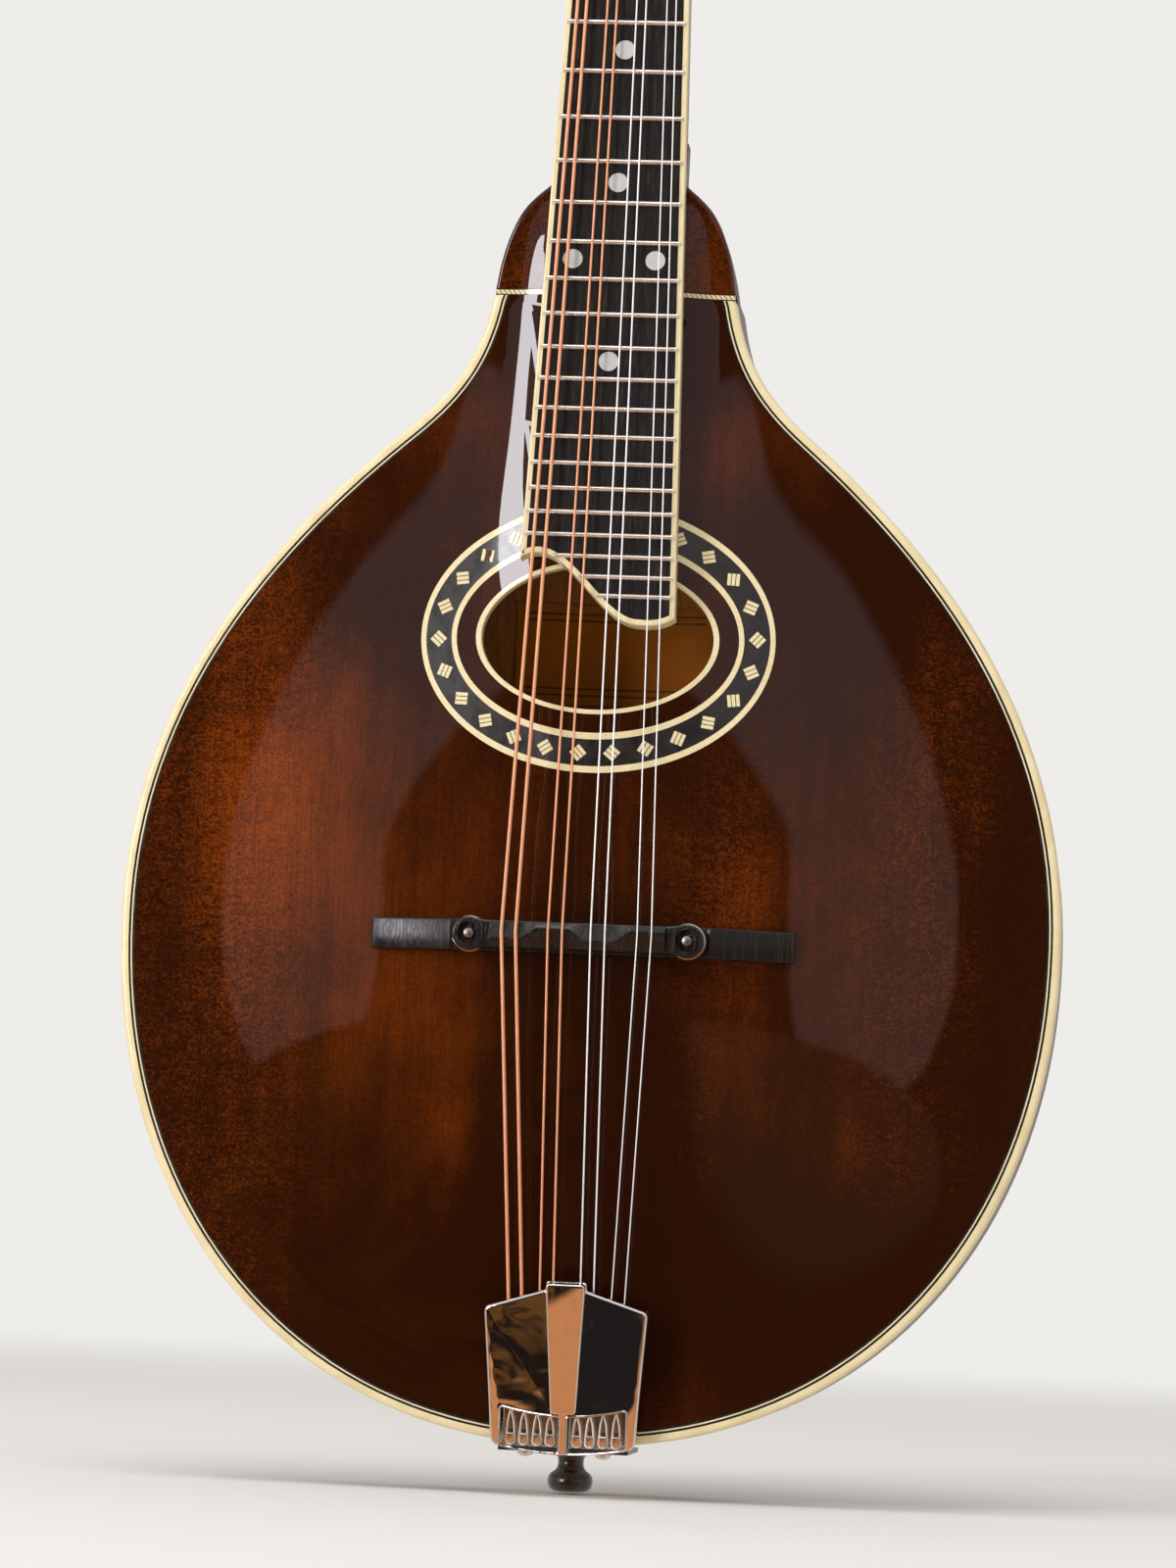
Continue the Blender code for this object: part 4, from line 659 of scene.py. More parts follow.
def tube(points, radius, sides=10, closed=False):
    """A round wire along the points."""
    points = np.asarray(points, float)
    if closed:
        tangents = np.roll(points, -1, 0) - np.roll(points, 1, 0)
    else:
        tangents = np.gradient(points, axis=0)
    tangents /= np.linalg.norm(tangents, axis=1, keepdims=True)
    angles = full_turn(sides)[:, None]
    side = np.cross(tangents[0], (0.31, 0.83, 0.46))
    rows = []
    for point, tangent in zip(points, tangents):
        side = side - tangent * (side @ tangent)
        side /= np.linalg.norm(side)
        up = np.cross(tangent, side)
        rows.append(point + radius * (np.cos(angles) * side + np.sin(angles) * up))
    return surface(rows, wrap_rows=closed, wrap_columns=True, caps=not closed)


# Body outline and arch

def half_outline():
    """Right half of the body's outer edge, from the tail up to the neck joint."""
    angle = np.linspace(0.0, math.pi / 2, 41)
    x = HALF_WIDTH * np.sin(angle) ** (2 / LOWER_BOUT_POWER)
    z = WIDEST_Z - (WIDEST_Z - TAIL_Z) * np.abs(np.cos(angle)) ** (2 / LOWER_BOUT_POWER)
    lower = np.stack((x, z), 1)
    widest = np.array((HALF_WIDTH, WIDEST_Z))
    waist = bezier(widest, widest + (0.0, 60.6), SHOULDER - SHOULDER_LEAN * 49.7,
                   SHOULDER, 32)
    upper = bezier(SHOULDER, SHOULDER + SHOULDER_LEAN * 17.9,
                   NECK_END + NECK_LEAN * 17.9, NECK_END, 16)
    return np.concatenate((lower, waist, upper))


OUTLINE = half_outline()


def half_edge(inset, top_z=JOINT_Z):
    """The right half of the outline moved inwards and ending at top_z."""
    points = offset(OUTLINE, inset)
    points[0, 0] = 0.0
    points[-1, 1] = top_z
    return points


def full_edge(inset, top_z=JOINT_Z):
    """The whole outline moved inwards, down the bass side and up the treble side."""
    right = half_edge(inset, top_z)
    return np.concatenate((mirrored(right)[:-1], right))


def edge_table():
    """Distance from the arch's centre to the rim in each direction, eased at the neck."""
    neck_edge = [(x, JOINT_Z) for x in (24, 15, 7, 0)]
    points = np.concatenate((OUTLINE, neck_edge))
    x, z = points[:, 0], points[:, 1] - ARCH_CENTRE_Z
    directions = np.linspace(-math.pi / 2, math.pi / 2, 1801)
    distances = np.interp(directions, np.arctan2(z, x), np.hypot(x, z))
    kernel = np.exp(-(np.arange(-90, 91) / 30.0) ** 2 / 2)
    padded = np.concatenate((distances[90:0:-1], distances, distances[-2:-92:-1]))
    return directions, np.convolve(padded, kernel / kernel.sum(), "valid")


DIRECTIONS, DISTANCES = edge_table()


def arch(x, z, peak, margins=(-0.05, -0.05), powers=(0.8, 0.8)):
    """Height of a carved plate: flat at the rim, then a dome, with other values neckwards."""
    x = np.asarray(x, float)
    z = np.asarray(z, float)
    direction = np.arctan2(z - ARCH_CENTRE_Z, np.abs(x))
    edge = np.interp(direction, DIRECTIONS, DISTANCES)
    inward = 1.0 - np.minimum(np.hypot(x, z - ARCH_CENTRE_Z) / edge, 1.0)
    neckward = smooth(np.degrees(direction), 0.0, 75.0)
    margin = margins[0] + (margins[1] - margins[0]) * neckward
    power = powers[0] + (powers[1] - powers[0]) * neckward
    start = np.maximum(margin, 0.0) / (1.0 + margin)
    rise = np.maximum(inward + margin, 0.0) / (1.0 + margin)
    low = (1.0 - np.cos(math.pi * start ** power)) / 2
    dome = (1.0 - np.cos(math.pi * rise ** power)) / 2
    return peak * (dome - low) / (1.0 - low)


def smooth(value, low, high):
    """A smooth step from 0 at low to 1 at high."""
    t = np.clip((value - low) / (high - low), 0.0, 1.0)
    return t * t * (3.0 - 2.0 * t)


def eased(columns, places):
    """Smooth values between the rows of a table, at the given places."""
    table = np.asarray(columns, float)
    at = table[:, 0]
    slopes = np.gradient(table[:, 1:], at, axis=0)
    index = np.clip(np.searchsorted(at, places, side="right") - 1, 0, len(at) - 2)
    span = (at[index + 1] - at[index])[:, None]
    t = (np.asarray(places) - at[index])[:, None] / span
    return ((2 * t ** 3 - 3 * t ** 2 + 1) * table[index, 1:] + (t ** 3 - 2 * t ** 2 + t) * span
            * slopes[index] + (3 * t ** 2 - 2 * t ** 3) * table[index + 1, 1:]
            + (t ** 3 - t ** 2) * span * slopes[index + 1])


# Height and width of the rise beside the fingerboard at each z
COVE_START_X = 19.0
COVE = ((206, 0, 14), (214, 0.05, 14), (228, 0.45, 14), (246, 1.2, 13.4), (262, 1.7, 12),
        (280, 2.1, 10.8), (300, 2.4, 10.5), (316, 2.4, 10.9), (330, 2.34, 12.1), (342, 1.7, 12),
        (352, 0.5, 11), (360, 0, 11))


def cove(x, z):
    """How far the top rises along both sides of the fingerboard."""
    x, z = np.broadcast_arrays(np.asarray(x, float), np.asarray(z, float))
    height, width = eased(COVE, np.clip(z.ravel(), COVE[0][0], COVE[-1][0])).T
    near = np.clip(1.0 - (np.abs(x.ravel()) - COVE_START_X) / width, 0.0, 1.0)
    return (np.maximum(height, 0.0) * near * near).reshape(x.shape)


def top_arch(x, z):
    return arch(x, z, TOP_ARCH, (-0.03, 0.43), (0.836, 1.164))


def top_y(x, z):
    return RIM_FRONT_Y - top_arch(x, z) - cove(x, z)


def back_y(x, z):
    return RIM_BACK_Y + arch(x, z, BACK_ARCH)


def plate_mesh(inset, top_z, face, inward):
    """A carved plate whose rings shrink towards the arch's centre."""
    edge = half_edge(inset, top_z)
    straight = np.linspace(edge[-1], edge[-1] * (-1, 1), 13)[1:-1]
    outline = np.concatenate((edge, straight, mirrored(edge)[:-1]))
    fractions = np.concatenate((np.linspace(1.0, 0.8, 17), np.linspace(0.775, 0.03, 31)))
    centre = np.array((0.0, ARCH_CENTRE_Z))
    rows = []
    for depth, order in ((0.0, fractions[::-1]), (inward, fractions)):
        for fraction in order:
            ring = centre + (outline - centre) * fraction
            rows.append(standing(ring, face(*ring.T) + depth))
    return lofted(rows)


def shade_carved(mesh, face, outwards, thickness):
    """Give both carved faces the arch's own slope, so that cuts leave no marks in the gloss."""
    corner_count = len(mesh.loops)
    points = np.empty(len(mesh.vertices) * 3)
    mesh.vertices.foreach_get("co", points)
    points = points.reshape(-1, 3)
    x, y, z = points.T
    small = 0.15
    slope_x = (face(x + small, z) - face(x - small, z)) / (2 * small)
    slope_z = (face(x, z + small) - face(x, z - small)) / (2 * small)
    carved = np.stack((-slope_x, np.ones(len(x)), -slope_z), 1)
    carved /= np.linalg.norm(carved, axis=1, keepdims=True)
    near = np.abs(y - face(x, z)) < 0.08
    far = np.abs(y - face(x, z) + outwards * thickness) < 0.08
    normals = np.zeros((corner_count, 3))
    for polygon in mesh.polygons:
        corners = list(polygon.vertices)
        facing = polygon.normal.y * outwards
        if facing > 0.5 and near[corners].all():
            chosen = carved[corners] * outwards
        elif facing < -0.5 and far[corners].all():
            chosen = carved[corners] * -outwards
        else:
            chosen = np.tile(np.array(polygon.normal), (len(corners), 1))
        start = polygon.loop_start
        normals[start:start + polygon.loop_total] = chosen
    mesh.shade_smooth()
    mesh.normals_split_custom_set(normals.tolist())
    return mesh


def edge_strip(path_at, profile):
    """A moulding along the edge; profile is (inset, y) pairs in order round its section."""
    columns = [standing(path_at(inset), y) for inset, y in profile]
    return lofted(np.stack(columns, 1))


def rim_profile(outer, inner, front, back, front_round=0.0, back_round=0.0):
    """Section of a strip with its outer edges rounded."""
    profile = [(inner, front)]
    for radius, face, sign in ((front_round, front, 1), (back_round, back, -1)):
        steps = [(outer + radius * (1 - math.cos(a)), face + sign * radius * (1 - math.sin(a)))
                 for a in np.linspace(math.pi / 2, 0.0, 5)] if radius else [(outer, face)]
        profile += steps if sign > 0 else steps[::-1]
    return profile + [(inner, back)]


# Sound box

def oval(half_axes, steps=160):
    angles = full_turn(steps)
    across = half_axes[0] * np.cos(angles)
    along = HOLE_CENTRE_Z + half_axes[1] * np.sin(angles)
    return np.stack((across, along), 1)


def on_top(path, lift):
    """A flat path laid on the top and moved along Y by the lift."""
    return standing(path, top_y(*np.asarray(path, float).T) + lift)


def oval_band(outer, inner, raised, sunk, across=4, edge=0.0):
    """A flat oval ring round the sound hole that follows the arch."""
    outer = np.array(outer)
    inwards = np.array(inner) - outer
    rings = [(share, -raised) for share in np.linspace(0.0, 1.0, across + 1)]
    if edge:
        turn = -edge / inwards.mean()
        rings[-1:] = [(1 - turn, -raised), (1 - turn * 0.3, 0.3 * edge - raised),
                      (1.0, edge - raised)]
    rings += [(1.0, sunk), (0.0, sunk)]
    rows = [on_top(oval(outer + inwards * share), lift) for share, lift in rings]
    return surface(rows, wrap_rows=True, wrap_columns=True)


def tiles_on_top(polygons, raised, sunk):
    """Flat polygons of (x, z) points let into the top."""
    points = []
    faces = []
    for polygon in polygons:
        upper = np.arange(len(polygon)) + len(points)
        lower = upper + len(polygon)
        points += [*on_top(polygon, -raised), *on_top(polygon, sunk)]
        sides = np.stack((upper, np.roll(upper, -1), np.roll(lower, -1), lower), 1)
        faces += [upper.tolist(), lower.tolist(), *sides.tolist()]
    return finished(points, faces)


DIAMOND_SIDE = 3.3
DIAMOND_LINE = 0.24
DIAMOND_TURNS = "01101001011010011001011010"


def diamond_places():
    """Middle and outward direction of each diamond, evenly spaced round the black band."""
    axes = np.array((43.35, 31.7))
    angles = np.linspace(-math.pi / 2, 1.5 * math.pi, 2001)
    points = np.stack((np.cos(angles), np.sin(angles)), 1) * axes
    lengths = np.concatenate(([0.0], np.cumsum(np.linalg.norm(np.diff(points, axis=0), axis=1))))
    for k, turn in enumerate(DIAMOND_TURNS):
        along = (5.8 + lengths[-1] * k / len(DIAMOND_TURNS)) % lengths[-1]
        angle = np.interp(along, lengths, angles)
        direction = np.array((math.cos(angle), math.sin(angle)))
        outward = direction / axes
        yield (direction * axes + (0.0, HOLE_CENTRE_Z), outward / np.linalg.norm(outward),
               turn == "1")


def make_rosette():
    strips = []
    grounds = []
    half = DIAMOND_SIDE / 2
    width = (DIAMOND_SIDE - 2 * DIAMOND_LINE) / 3
    ground = np.array(rectangle(-half, half, -half, half)) * 0.98
    for middle, outward, turned_over in diamond_places():
        sideways = np.array((-outward[1], outward[0]))
        axes = np.array((outward + sideways, outward - sideways)) / math.sqrt(2)
        if turned_over:
            axes = axes[::-1]
        grounds.append(middle + ground @ axes)
        strips += [middle + rectangle(-half, half, low, low + width) @ axes
                   for low in (-half, -width / 2, half - width)]
    piece("rosette_outer_ring", oval_band((48.2, 37.0), (46.8, 35.2), 0.03, 0.7), INLAY_IVORY)
    piece("rosette_band", oval_band((46.75, 35.15), (39.85, 27.95), 0.02, 0.7, 8),
          PURFLING_BLACK, replaces=["rosette"])
    piece("rosette_inner_ring", oval_band((39.8, 27.9), (38.4, 26.1), 0.03, 0.7), INLAY_IVORY)
    piece("rosette_diamond_lines", tiles_on_top(grounds, 0.035, 0.1), DIAMOND_BROWN)
    piece("rosette_diamonds", tiles_on_top(strips, 0.05, 0.1), INLAY_IVORY)
    piece("soundhole_edge", oval_band((33.1, 21.0), (31.5, 19.75), 0.02, 4.3, 3, 0.35),
          INLAY_IVORY, replaces=["soundhole_binding"])


def make_top():
    plate = plate_mesh(TOP_EDGE_INSET + 0.01, STRIP_LOW_Z - 0.02, top_y, PLATE_THICKNESS)
    groove = oval_band((48.25, 37.05), (38.35, 26.05), 3.0, 0.72, 8)
    plate = cut(plate, slab(oval((33.12, 21.02)), -60, 0), groove)
    piece("top", shade_carved(plate, top_y, -1, PLATE_THICKNESS), TOP_LACQUER,
          replaces=["top_plate"])


def make_back():
    plate = plate_mesh(BINDING_WIDTH + 0.02, JOINT_Z, back_y, -PLATE_THICKNESS)
    back = piece("back", shade_carved(plate, back_y, 1, PLATE_THICKNESS), BACK_LACQUER,
                 replaces=["back_plate"])
    back.data.materials.append(INNER_BACK.material)
    for polygon in back.data.polygons:
        if polygon.normal.y < -0.5:
            polygon.material_index = 1


def make_edges():
    top_path = lambda inset: full_edge(inset, STRIP_LOW_Z - 0.02)
    profile = rim_profile(0.0, BINDING_WIDTH, RIM_FRONT_Y - 0.02,
                          RIM_FRONT_Y + BINDING_DEPTH, 1.3)
    piece("top_edge_binding", edge_strip(top_path, profile), BINDING_IVORY,
          replaces=["top_binding"])
    paints = (PURFLING_BLACK, BINDING_IVORY, PURFLING_BLACK)
    for i, (name, paint) in enumerate(zip(("outer", "middle", "inner"), paints)):
        profile = rim_profile(PURFLING_INSETS[i], PURFLING_INSETS[i + 1], RIM_FRONT_Y - 0.02,
                              RIM_FRONT_Y + 3)
        piece("purfling_" + name, edge_strip(top_path, profile), paint)
    profile = rim_profile(0.0, BINDING_WIDTH, RIM_BACK_Y - BINDING_DEPTH, RIM_BACK_Y + 0.02,
                          0.0, 0.8)
    piece("back_edge_binding", edge_strip(full_edge, profile), BINDING_IVORY,
          replaces=["back_binding"])
    for side in ("treble", "bass"):
        profile = rim_profile(0.03, 2.0, RIM_FRONT_Y + BINDING_DEPTH,
                              RIM_BACK_Y - BINDING_DEPTH)
        mesh = edge_strip(half_edge, profile)
        if side == "bass":
            mesh = mirrored_mesh(mesh)
        piece("side_" + side, mesh, RIB_LACQUER, replaces=["rib_" + side])
    lines = ((STRIP_LOW_Z, STRIP_LOW_Z + 0.28), (STRIP_HIGH_Z - 0.28, STRIP_HIGH_Z))
    piece("joint_rope", cross_strip(lines[0][1], lines[1][0]), ROPE_STRIP,
          replaces=["neck_joint_strip"])
    piece("joint_lines", merged([cross_strip(*line) for line in lines]), PURFLING_BLACK)


def cross_strip(low_z, high_z):
    """A strip across the neck joint that follows the top."""
    half = NECK_END[0] - 0.15
    rows = []
    for x in np.linspace(-half, half, 67):
        front = RIM_FRONT_Y - 0.03 - float(cove(x, JOINT_Z))
        rows.append([(x, y, z) for y, z in rectangle(front, RIM_FRONT_Y + 4, low_z, high_z)])
    return lofted(rows)


make_top()
make_back()
make_edges()
make_rosette()


# Neck, fingerboard and headstock

def neck_plane_y(depth, z):
    """World Y of a plane at a depth below the fingerboard's face, at a world Z."""
    along = (z - TWELFTH_FRET_Z + depth * math.sin(NECK_TILT)) / math.cos(NECK_TILT)
    return BOARD_Y + depth * math.cos(NECK_TILT) + along * math.sin(NECK_TILT)


HEEL = np.array((
    (-1.6, 33.0, 20.0, 7.0), (6, 31.7, 19.6, 5.5), (12.8, 29.8, 17.6, 4.4), (18, 27.6, 14.6, 3.6),
    (22, 25.0, 11.2, 3.0), (25, 22.0, 8.0, 2.7), (28, 18.6, 4.6, 2.4), (34, 18.0, 0.6, 2.3),
    (44, 17.8, -2.2, 2.3), (90, 16.6, 1.3, 2.3), (150, 15.0, 6.2, 2.3), (182, 14.2, 8.9, 2.3)))


def rounded_section(z, half_width, front, back, power, corner, steps=36):
    """A D-shaped ring: flat front with rounded corners, curved back."""
    points = []
    for angle in np.linspace(0.0, math.pi / 2, 5)[:-1]:
        points.append((half_width - corner * (1 - math.sin(angle)),
                       front + corner * (1 - math.cos(angle))))
    for angle in np.linspace(0.0, math.pi, steps + 1):
        x = half_width * math.copysign(abs(math.cos(angle)) ** (2 / power), math.cos(angle))
        start = front + corner
        points.append((x, start + (back - start) * math.sin(angle) ** (2 / power)))
    points += [(-x, y) for x, y in reversed(points[:4])]
    flat = half_width - corner
    points += [(x, front) for x in np.linspace(-flat, flat, 41)]
    x, y = np.array(points).T
    return np.stack(np.broadcast_arrays(x, y - cove(x, z) * (y < front + corner), z), 1)


def head_outline(inset=0.0):
    """The headstock seen from its face, nut end first."""
    half = np.concatenate(([(NUT_HALF_WIDTH, 0.0)],
                           bezier((14.3, 0), (15, 12), (31.5, 14), (32, 32), 20),
                           bezier((32, 32), (32.6, 55), (29, 100), (30.5, 134), 16),
                           bezier((30.5, 134), (31.5, 147), (22, 150), (15, 149.5), 14),
                           bezier((15, 149.5), (9, 149), (6, 157), (0, 158), 12)))
    if inset:
        half = offset(half, inset)
        half[-1, 0] = 0.0
        half[0, 1] = 0.0
    return np.concatenate((half, mirrored(half)[1:]))


def make_neck():
    places = np.concatenate((np.linspace(-1.6, 46.0, 40), np.linspace(50.0, 182.0, 24)))
    sections = []
    for place, (half_width, back, power) in zip(places, eased(HEEL, places)):
        z = TWELFTH_FRET_Z + place
        front = max(RIM_FRONT_Y, neck_plane_y(5.6, z))
        sections.append(rounded_section(z, half_width, front, back, power, 0.9))
    wedge = []
    for z in (sections[0][0][2], TWELFTH_FRET_Z + 40):
        front = neck_plane_y(5.52, z)
        wedge.append([(x, y, z) for x, y in rectangle(-18.2, 18.2, front, front + 8)])
    head = moved(slab(head_outline(), 0.0, HEAD_THICKNESS, 0.0, 2.2, 5), HEAD)
    neck = join(lofted(sections), lofted(wedge), head)
    above = moved(box((-60, -30, -1), (60, 0, 200)), HEAD)
    piece("neck_and_heel", cut(neck, above), NECK_LACQUER, replaces=["neck"], angle=40.0)


def board_path():
    """The fingerboard's edge: down the bass side, round the scrolled end, up the treble side."""
    left = (-21.1, -78.1)
    low = (12.2, -95.8)
    right = (21.6, -93.6)
    return np.concatenate((np.linspace((-NUT_HALF_WIDTH, NUT_Z), left, 12),
                           bezier(left, (-9, -70), (0, -96.5), low, 28),
                           bezier(low, (16, -96.2), (19.5, -95.3), right, 10),
                           np.linspace(right, (NUT_HALF_WIDTH, NUT_Z), 12)[1:]))


def board_edge_at(inset):
    path = offset(board_path(), inset)
    path[0, 1] = NUT_Z
    path[-1, 1] = NUT_Z
    return path


def span_at(outline, z):
    """Lowest and highest x where a closed outline crosses a line of constant z."""
    crossings = []
    for (x0, z0), (x1, z1) in zip(outline, np.roll(outline, -1, 0)):
        if (z0 - z) * (z1 - z) < 0:
            crossings.append(x0 + (x1 - x0) * (z - z0) / (z1 - z0))
    return min(crossings), max(crossings)


def fret_mesh(low_x, high_x, z):
    """A crowned fret wire with its ends filed to a slope."""
    crown = [(math.cos(a), math.sin(a)) for a in np.linspace(0.0, math.pi, 9)]
    rows = []
    bevel = 0.75
    for x, share in ((low_x, 0.12), (low_x + bevel, 1.0), (high_x - bevel, 1.0), (high_x, 0.12)):
        ring = [(x, -0.92 * share * up, z + 0.62 * side) for side, up in crown]
        ring += [(x, 0.3, z - 0.62), (x, 0.3, z + 0.62)]
        rows.append(ring)
    return lofted(rows)


DOTS = ((0.0, 128.9), (0.0, 95.7), (0.0, 65.2), (0.0, 27.4), (-11.3, 5.6), (11.3, 5.6),
        (0.0, -23.0))


def make_fingerboard():
    edge = edge_strip(board_edge_at, rim_profile(0.0, BOARD_EDGE, 0.0, BOARD_THICKNESS, 0.45))
    piece("board_edge_binding", moved(edge, NECK), BOARD_IVORY, replaces=["fingerboard_binding"])
    board = slab(board_edge_at(BOARD_EDGE + 0.01), 0.01, BOARD_THICKNESS)
    piece("board", moved(board, NECK), EBONY, replaces=["fingerboard"])
    outline = board_edge_at(0.55)
    for number in range(1, 25):
        z = NUT_Z - SCALE_LENGTH * (1 - 2 ** (-number / 12))
        mesh = fret_mesh(*span_at(outline, z), z)
        piece("fret_%02d" % number, moved(mesh, NECK), FRET_NICKEL, angle=28.0)
    for number, (x, z) in enumerate(DOTS, 1):
        dot = shifted(rod(2.7, -0.03, 0.8, 40), x=x, z=z)
        piece("dot_%d" % number, moved(dot, NECK), DOT_PEARL)


def make_riser():
    """The wedge between the top and the fingerboard's overhanging end."""
    rows = []
    for z in np.linspace(266, STRIP_HIGH_Z, 16):
        front = neck_plane_y(5.52, z)
        across = np.linspace(17.3, -17.3, 11)
        back = [(x, float(top_y(x, min(z, STRIP_LOW_Z))) - 0.05, z) for x in across]
        rows.append([(-17.3, front, z), (17.3, front, z)] + back)
    piece("board_riser", lofted(rows), NECK_LACQUER, replaces=["fingerboard_riser"])


def screw_mesh(radius, rise, slot_width):
    """A domed screw head standing on a face at zero, out along -Y, with a slot across it."""
    steps = np.linspace(0.0, math.pi / 2, 7)
    profile = [(radius * math.sin(a), -rise * math.cos(a)) for a in steps]
    head = turned([(0.0, -rise)] + profile[1:] + [(radius, 0.3), (0.0, 0.3)], 28, "Y")
    slot = box((-radius * 1.2, -rise * 1.4, -slot_width / 2),
               (radius * 1.2, -rise * 0.45, slot_width / 2))
    return cut(head, slot)


def make_head_fittings():
    holes = [shifted(rod(3.4, -6, 6, 32), x=sign * POST_X, z=z)
             for sign in (-1, 1) for z in POST_ZS]
    outline = head_outline(0.15)
    outline[:, 1] = np.maximum(outline[:, 1], 0.8)
    veneer = cut(slab(outline, VENEER_FRONT_Y, -0.01, 0.5), merged(holes))
    piece("head_veneer", moved(veneer, HEAD), VENEER_EBONY, replaces=["headstock_veneer"])
    half = np.concatenate(([(8.5, 2.2)], bezier((8.5, 2.2), (9.5, 10), (4, 14), (4, 20), 14),
                           bezier((4, 20), (4, 24), (2, 26), (0, 26.5), 8)))
    cover_y = VENEER_FRONT_Y - 1.8
    cover = slab(np.concatenate((half, mirrored(half)[1:])), cover_y, VENEER_FRONT_Y - 0.02, 0.6)
    piece("rod_cover", moved(cover, HEAD), VENEER_EBONY, replaces=["truss_rod_cover"])
    for number, (x, z) in enumerate(((-5.2, 4.8), (5.2, 4.8), (0.0, 22.6)), 1):
        screw = shifted(screw_mesh(1.3, 0.7, 0.3), x, cover_y, z)
        piece("rod_cover_screw_%d" % number, moved(screw, HEAD), NICKEL)
    outline = rectangle(-NUT_HALF_WIDTH, NUT_HALF_WIDTH, NUT_Z + 0.02, NUT_Z + 4.1)
    nut = slab(rounded(outline, 0.7), -1.75, BOARD_THICKNESS, 0.5)
    slots = []
    for index, radius in enumerate(STRING_RADII):
        x = (-1 if index < 4 else 1) * NUT_SPREAD[index % 4]
        slots.append(box((x - radius - 0.06, -5, NUT_Z - 2), (x + radius + 0.06, -1.28, NUT_Z + 7)))
    piece("string_nut", moved(cut(nut, merged(slots)), NECK), BONE, replaces=["nut"])


make_neck()
make_fingerboard()
make_riser()
make_head_fittings()


# Tuning machines

def gear_outline():
    """A 14-tooth gear with a gap at the top, where the worm's thread enters."""
    tooth = 2 * math.pi / 14
    flank = ((3.15, -0.24), (3.6, -0.12), (3.6, 0.12), (3.15, 0.24), (2.95, 0.38), (2.95, 0.62))
    points = [(radius, math.pi / 2 + tooth * (i + 0.5 + share))
              for i in range(14) for radius, share in flank]
    return [(radius * math.cos(angle), radius * math.sin(angle)) for radius, angle in points]


def post_mesh():
    """A tuning post with a waist for the string and a rounded top."""
    return turned(((0.0, 19.6), (3.0, 19.6), (3.0, -3.6), (2.75, -4.0), (2.6, -4.6), (2.6, -8.3),
                   (2.75, -8.8), (3.0, -9.2), (3.0, -11.2), (2.8, -11.8), (2.3, -12.25),
                   (0.0, -12.4)), 36, "Y")


def worm_mesh():
    """The worm shaft along X; zero is where the worm meets the gear."""
    shaft = turned(((0.0, 22.0), (1.2, 22.0), (1.2, 4.3), (1.75, 4.0), (1.75, -4.0), (1.2, -4.3),
                    (1.2, -6.4), (1.0, -6.6), (0.0, -6.6)), 24, "X")
    collar = turned(((0.0, 23.6), (2.3, 23.6), (2.6, 23.0), (2.5, 21.6), (1.9, 20.4), (1.3, 19.6),
                     (0.0, 19.6)), 28, "X")
    pitch = math.pi * 0.5
    turns = np.linspace(-0.75, 0.75, 49)
    angle = 2 * math.pi * turns - math.pi / 2
    thread = np.stack((turns * pitch, 1.92 * np.cos(angle), 1.92 * np.sin(angle)), 1)
    return join(shaft, tube(thread, 0.27, 8), collar)


def button_mesh():
    """A rounded oval tuning button beyond the end of its shaft."""
    angles = full_turn(40)
    y, z = (np.sign(wave) * np.abs(wave) ** 0.85 for wave in (np.sin(angles), np.cos(angles)))
    rows = [np.stack((np.full(40, x), deep * y, across * z), 1)
            for x, across, deep in (
                (22.8, 0.0, 0.0), (22.8, 2.6, 1.6), (23.2, 3.9, 2.1), (24.4, 5.1, 2.5),
                (26.4, 6.05, 2.8), (28.6, 6.4, 2.95), (30.6, 6.1, 2.8), (32.2, 5.0, 2.4),
                (33.1, 3.6, 1.8), (33.45, 1.9, 1.0), (33.5, 0.0, 0.0))]
    return surface(rows, wrap_columns=True)


def plate_mesh_for_tuners():
    """The treble plate behind four posts, with two ears for each worm shaft."""
    plate = slab(rounded(rectangle(13.2, 26.6, 28.0, 117.0), 2.4), 14.02, 15.5, 0.0, 0.35)
    outline = rounded(rectangle(15.0, 21.0, -2.6, 2.6), (0.0, 2.4, 2.4, 0.0))
    ears = []
    holes = []
    for z in POST_ZS:
        worm_z = z + WORM_OFFSET_Z
        turn = Matrix(((0, 1, 0, POST_X), (1, 0, 0, 0), (0, 0, 1, worm_z), (0, 0, 0, 1)))
        for near, far in ((-5.6, -4.4), (4.4, 5.6)):
            ear = moved(slab(outline, near, far), turn)
            ear.flip_normals()
            ears.append(ear)
        holes += [shifted(rod(3.25, 10, 20, 32), x=POST_X, z=z),
                  shifted(rod(1.42, -7.5, 7.5, 20, "X"), POST_X, GEAR_MIDDLE_Y, worm_z)]
    return cut(join(plate, merged(ears)), merged(holes))


